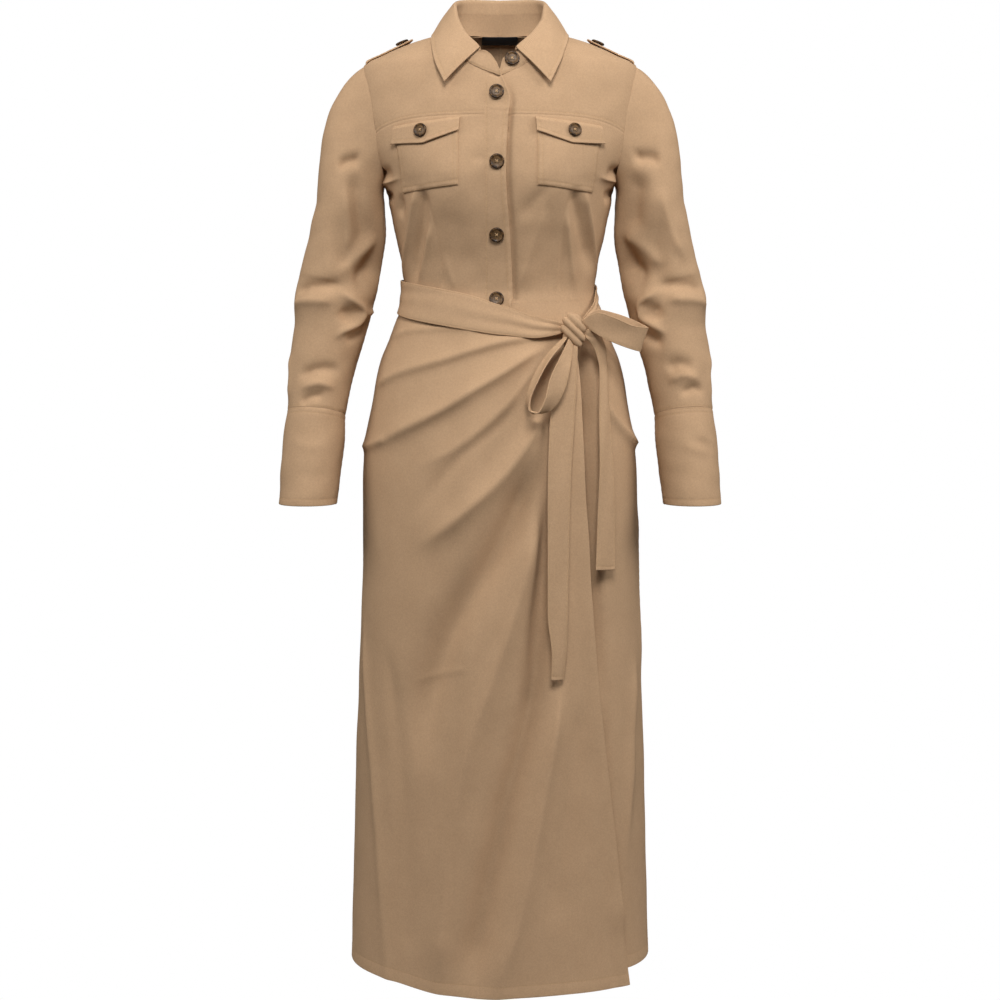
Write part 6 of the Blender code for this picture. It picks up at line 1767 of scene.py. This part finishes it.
def twill_material():
    """Brushed cotton twill: fine diagonal ribs, a soft cloudy dye and a matt face."""
    material, tree = new_material("cotton_twill_camel")
    weave = add_node(tree, "ShaderNodeUVMap", uv_map="weave")
    place = add_node(tree, "ShaderNodeMapping", {"Vector": weave.outputs["UV"]},
                     Rotation=(0, 0, math.radians(TWILL_TURN)))
    wave = add_node(tree, "ShaderNodeTexWave", {"Vector": place.outputs["Vector"]}, wave_type="BANDS",
                    bands_direction="X", Scale=WAVE_SCALE / TWILL_SPACING, Distortion=0.6, Detail=1.0)
    solid = add_node(tree, "ShaderNodeTexCoord")
    cloud = add_node(tree, "ShaderNodeTexNoise", {"Vector": solid.outputs["Object"]}, Scale=55.0, Detail=4.0)
    fleck = add_node(tree, "ShaderNodeTexNoise", {"Vector": solid.outputs["Object"]}, Scale=420.0, Detail=2.0)
    dye = add_node(tree, "ShaderNodeMix", {"Factor": cloud.outputs["Fac"]}, data_type="RGBA",
                   A=srgb(TWILL_DEEP), B=srgb(TWILL_PALE))
    shade = add_node(tree, "ShaderNodeMapRange", {"Value": wave.outputs["Fac"]}, To_Min=0.84, To_Max=1.0)
    ribbed = add_node(tree, "ShaderNodeMix", {"A": dye.outputs["Result"], "B": shade.outputs["Result"]},
                      data_type="RGBA", blend_type="MULTIPLY", Factor=1.0)
    speck = add_node(tree, "ShaderNodeMapRange", {"Value": fleck.outputs["Fac"]}, From_Min=0.3, From_Max=0.7,
                     To_Min=0.94, To_Max=1.05)
    final = add_node(tree, "ShaderNodeMix", {"A": ribbed.outputs["Result"], "B": speck.outputs["Result"]},
                     data_type="RGBA", blend_type="MULTIPLY", Factor=1.0)
    height = add_node(tree, "ShaderNodeMath", {0: wave.outputs["Fac"], 1: fleck.outputs["Fac"]},
                      operation="ADD")
    bump = add_node(tree, "ShaderNodeBump", {"Height": height.outputs["Value"]}, Strength=0.35,
                    Distance=0.00012)
    add_node(tree, "Principled BSDF",
             {"Base Color": final.outputs["Result"], "Normal": bump.outputs["Normal"]},
             Roughness=0.92, Specular_IOR_Level=0.18, Sheen_Weight=0.12, Sheen_Roughness=0.5,
             Sheen_Tint=srgb(TWILL_PALE))
    return material


def thread_material():
    """Sewing thread: the cloth's colour, a little smoother and paler."""
    material, tree = new_material("sewing_thread")
    solid = add_node(tree, "ShaderNodeTexCoord")
    ply = add_node(tree, "ShaderNodeTexNoise", {"Vector": solid.outputs["Object"]}, Scale=900.0, Detail=2.0)
    tone = add_node(tree, "ShaderNodeMix", {"Factor": ply.outputs["Fac"]}, data_type="RGBA",
                    A=srgb("A98358"), B=srgb("C7A47A"))
    add_node(tree, "Principled BSDF", {"Base Color": tone.outputs["Result"]}, Roughness=0.7)
    return material


def horn_material():
    """Polished dark horn: brown mottling round a lighter middle, under a soft gloss."""
    material, tree = new_material("buffalo_horn")
    solid = add_node(tree, "ShaderNodeTexCoord")
    streak = add_node(tree, "ShaderNodeTexNoise", {"Vector": solid.outputs["Object"]}, Scale=230.0,
                      Detail=4.0, Distortion=1.2)
    tone = add_node(tree, "ShaderNodeValToRGB", {"Fac": streak.outputs["Fac"]})
    tone.color_ramp.elements.new(0.52)
    for stop, (reached, code) in zip(tone.color_ramp.elements, HORN_TONES):
        stop.position = reached
        stop.color = srgb(code)
    level = add_node(tree, "ShaderNodeVectorMath", {1: solid.outputs["Object"]}, operation="MULTIPLY",
                     Vector=(1, 1, 0))
    apart = add_node(tree, "ShaderNodeVectorMath", {0: level.outputs["Vector"]}, operation="LENGTH")
    # The horn is paler towards the middle of the button, fading out towards the rim.
    paler_middle = add_node(tree, "ShaderNodeMapRange", {"Value": apart.outputs["Value"]}, From_Min=HORN_PALE_FROM,
                    From_Max=HORN_PALE_TO, To_Min=0.3, To_Max=0.0)
    pale = add_node(tree, "ShaderNodeMix", {"Factor": paler_middle.outputs["Result"], "A": tone.outputs["Color"]},
                    data_type="RGBA", B=srgb("94744F"))
    add_node(tree, "Principled BSDF", {"Base Color": pale.outputs["Result"]}, Roughness=0.42,
             Specular_IOR_Level=0.25)
    return material


def label_material():
    """A black satin-woven label: fine level threads with a faint shine."""
    material, tree = new_material("black_woven_label")
    weave = add_node(tree, "ShaderNodeUVMap", uv_map="weave")
    wave = add_node(tree, "ShaderNodeTexWave", {"Vector": weave.outputs["UV"]}, wave_type="BANDS",
                    bands_direction="Y", Scale=WAVE_SCALE / LABEL_SPACING)
    tone = add_node(tree, "ShaderNodeMix", {"Factor": wave.outputs["Fac"]}, data_type="RGBA",
                    A=srgb("0C0C0D"), B=srgb("1B1B1E"))
    bump = add_node(tree, "ShaderNodeBump", {"Height": wave.outputs["Fac"]}, Strength=0.3, Distance=0.0001)
    add_node(tree, "Principled BSDF",
             {"Base Color": tone.outputs["Result"], "Normal": bump.outputs["Normal"]}, Roughness=0.55)
    return material


# ---- floor, light and camera
FLOOR_Z = -1580             # where the wearer would stand
FLOOR_RADIUS = 600
FLOOR_SIDES = 128
# Soft square lamps: name, place, size, power.
LAMPS = (
    ("front", (0.1, -2.4, 1.85), 1.2, 86),
    ("side_right", (-2.3, -0.9, 1.1), 1.2, 30),
    ("side_left", (2.3, -0.9, 1.1), 1.2, 40),
    ("back", (0, 3.2, 0.5), 1.6, 75),
)
LAMP_AIM = (0, 0, -0.5)
ROOM_WAY = (0.0, -0.25, 0.97)       # the room is brightest this way
ROOM_LOW = 0.04             # and darkest the other way
ROOM_HIGH = 0.19
CAMERA_PLACE = (0, -3.0, -0.36)
CAMERA_AIM = (0, 0, -0.64)
CAMERA_LENS = 77.478


def set_room():
    """An even white studio: seen white, and lighting the dress a little more from above."""
    room = bpy.data.worlds.new("room")
    bpy.context.scene.world = room
    room.use_nodes = True
    tree = room.node_tree
    white = (1, 1, 1, 1)
    place = add_node(tree, "ShaderNodeTexCoord")
    parts = add_node(tree, "ShaderNodeVectorMath", {1: place.outputs["Generated"]}, operation="DOT_PRODUCT",
                     Vector=ROOM_WAY)
    level = add_node(tree, "ShaderNodeMapRange", {"Value": parts.outputs["Value"]}, From_Min=-1,
                     To_Min=ROOM_LOW, To_Max=ROOM_HIGH)
    light = add_node(tree, "Background", {"Strength": level.outputs["Result"]}, Color=white)
    seen = add_node(tree, "ShaderNodeBackground", Color=white)
    path = add_node(tree, "ShaderNodeLightPath")
    mix = add_node(tree, "ShaderNodeMixShader", {
        "Fac": path.outputs["Is Camera Ray"], 1: light.outputs["Background"], 2: seen.outputs["Background"]})
    add_node(tree, "World Output", {"Surface": mix.outputs["Shader"]})


def aimed(item, place, aim):
    """Put a lamp or camera in the scene and turn it to what it looks at."""
    held = bpy.data.objects.new(item.name, item)
    held.location = place
    held.rotation_euler = (Vector(aim) - held.location).to_track_quat("-Z", "Y").to_euler()
    bpy.context.scene.collection.objects.link(held)
    return held


def set_stage():
    """A plain pale floor under the dress, the room, the lamps and the camera."""
    material, tree = new_material("pale_floor")
    add_node(tree, "Principled BSDF", Base_Color=(0.7, 0.7, 0.7, 1), Roughness=0.9)
    turn = np.linspace(0, 2 * math.pi, FLOOR_SIDES, endpoint=False)
    ring = [(FLOOR_RADIUS * math.cos(step), FLOOR_RADIUS * math.sin(step), FLOOR_Z) for step in turn]
    ring += [(x, y, z - 4) for x, y, z in ring]
    add_mesh("floor", ring, drum_faces(FLOOR_SIDES), material)
    set_room()
    for name, place, size, power in LAMPS:
        light = bpy.data.lights.new(name, "AREA")
        light.shape = "SQUARE"
        light.size = size
        light.energy = power
        aimed(light, place, LAMP_AIM)
    lens = bpy.data.cameras.new("camera")
    lens.sensor_width = 36
    lens.lens = CAMERA_LENS
    bpy.context.scene.camera = aimed(lens, CAMERA_PLACE, CAMERA_AIM)
    bpy.context.scene.view_settings.view_transform = "Standard"


def main():
    cloth = twill_material()
    thread = thread_material()
    horn = horn_material()
    black = label_material()
    dress_yokes(cloth)
    dress_fronts(cloth)
    dress_backs(cloth)
    stand = dress_stand(cloth)
    dress_collar(cloth)
    dress_placket(cloth)
    dress_pockets(cloth)
    dress_label(black)
    dress_sleeves(cloth)
    epaulette_facing = dress_epaulettes(cloth)
    dress_wrap(cloth)
    dress_under(cloth)
    dress_back_skirt(cloth)
    dress_sash_band("sash_front", SASH_FRONT, cloth, 1.5, 0.35)
    dress_sash_band("sash_back", SASH_BACK, cloth, 1.2, 0.5)
    dress_knot(cloth)
    dress_loop("bow_loop_low", LOW_LOOP, cloth, 2.0, lambda at: at * (1, 1, 0), 1)
    dress_loop("bow_loop_side", SIDE_LOOP, cloth, 1.5, lambda at: at * (1, 1, 0), 2)
    dress_tail("sash_tail_long", LONG_TAIL, cloth, 1.6, 1)
    dress_tail("sash_tail_short", SHORT_TAIL, cloth, 1.6, 3)
    dress_buttons(horn, thread, stand, epaulette_facing)
    dress_stitches(thread)
    set_stage()


main()
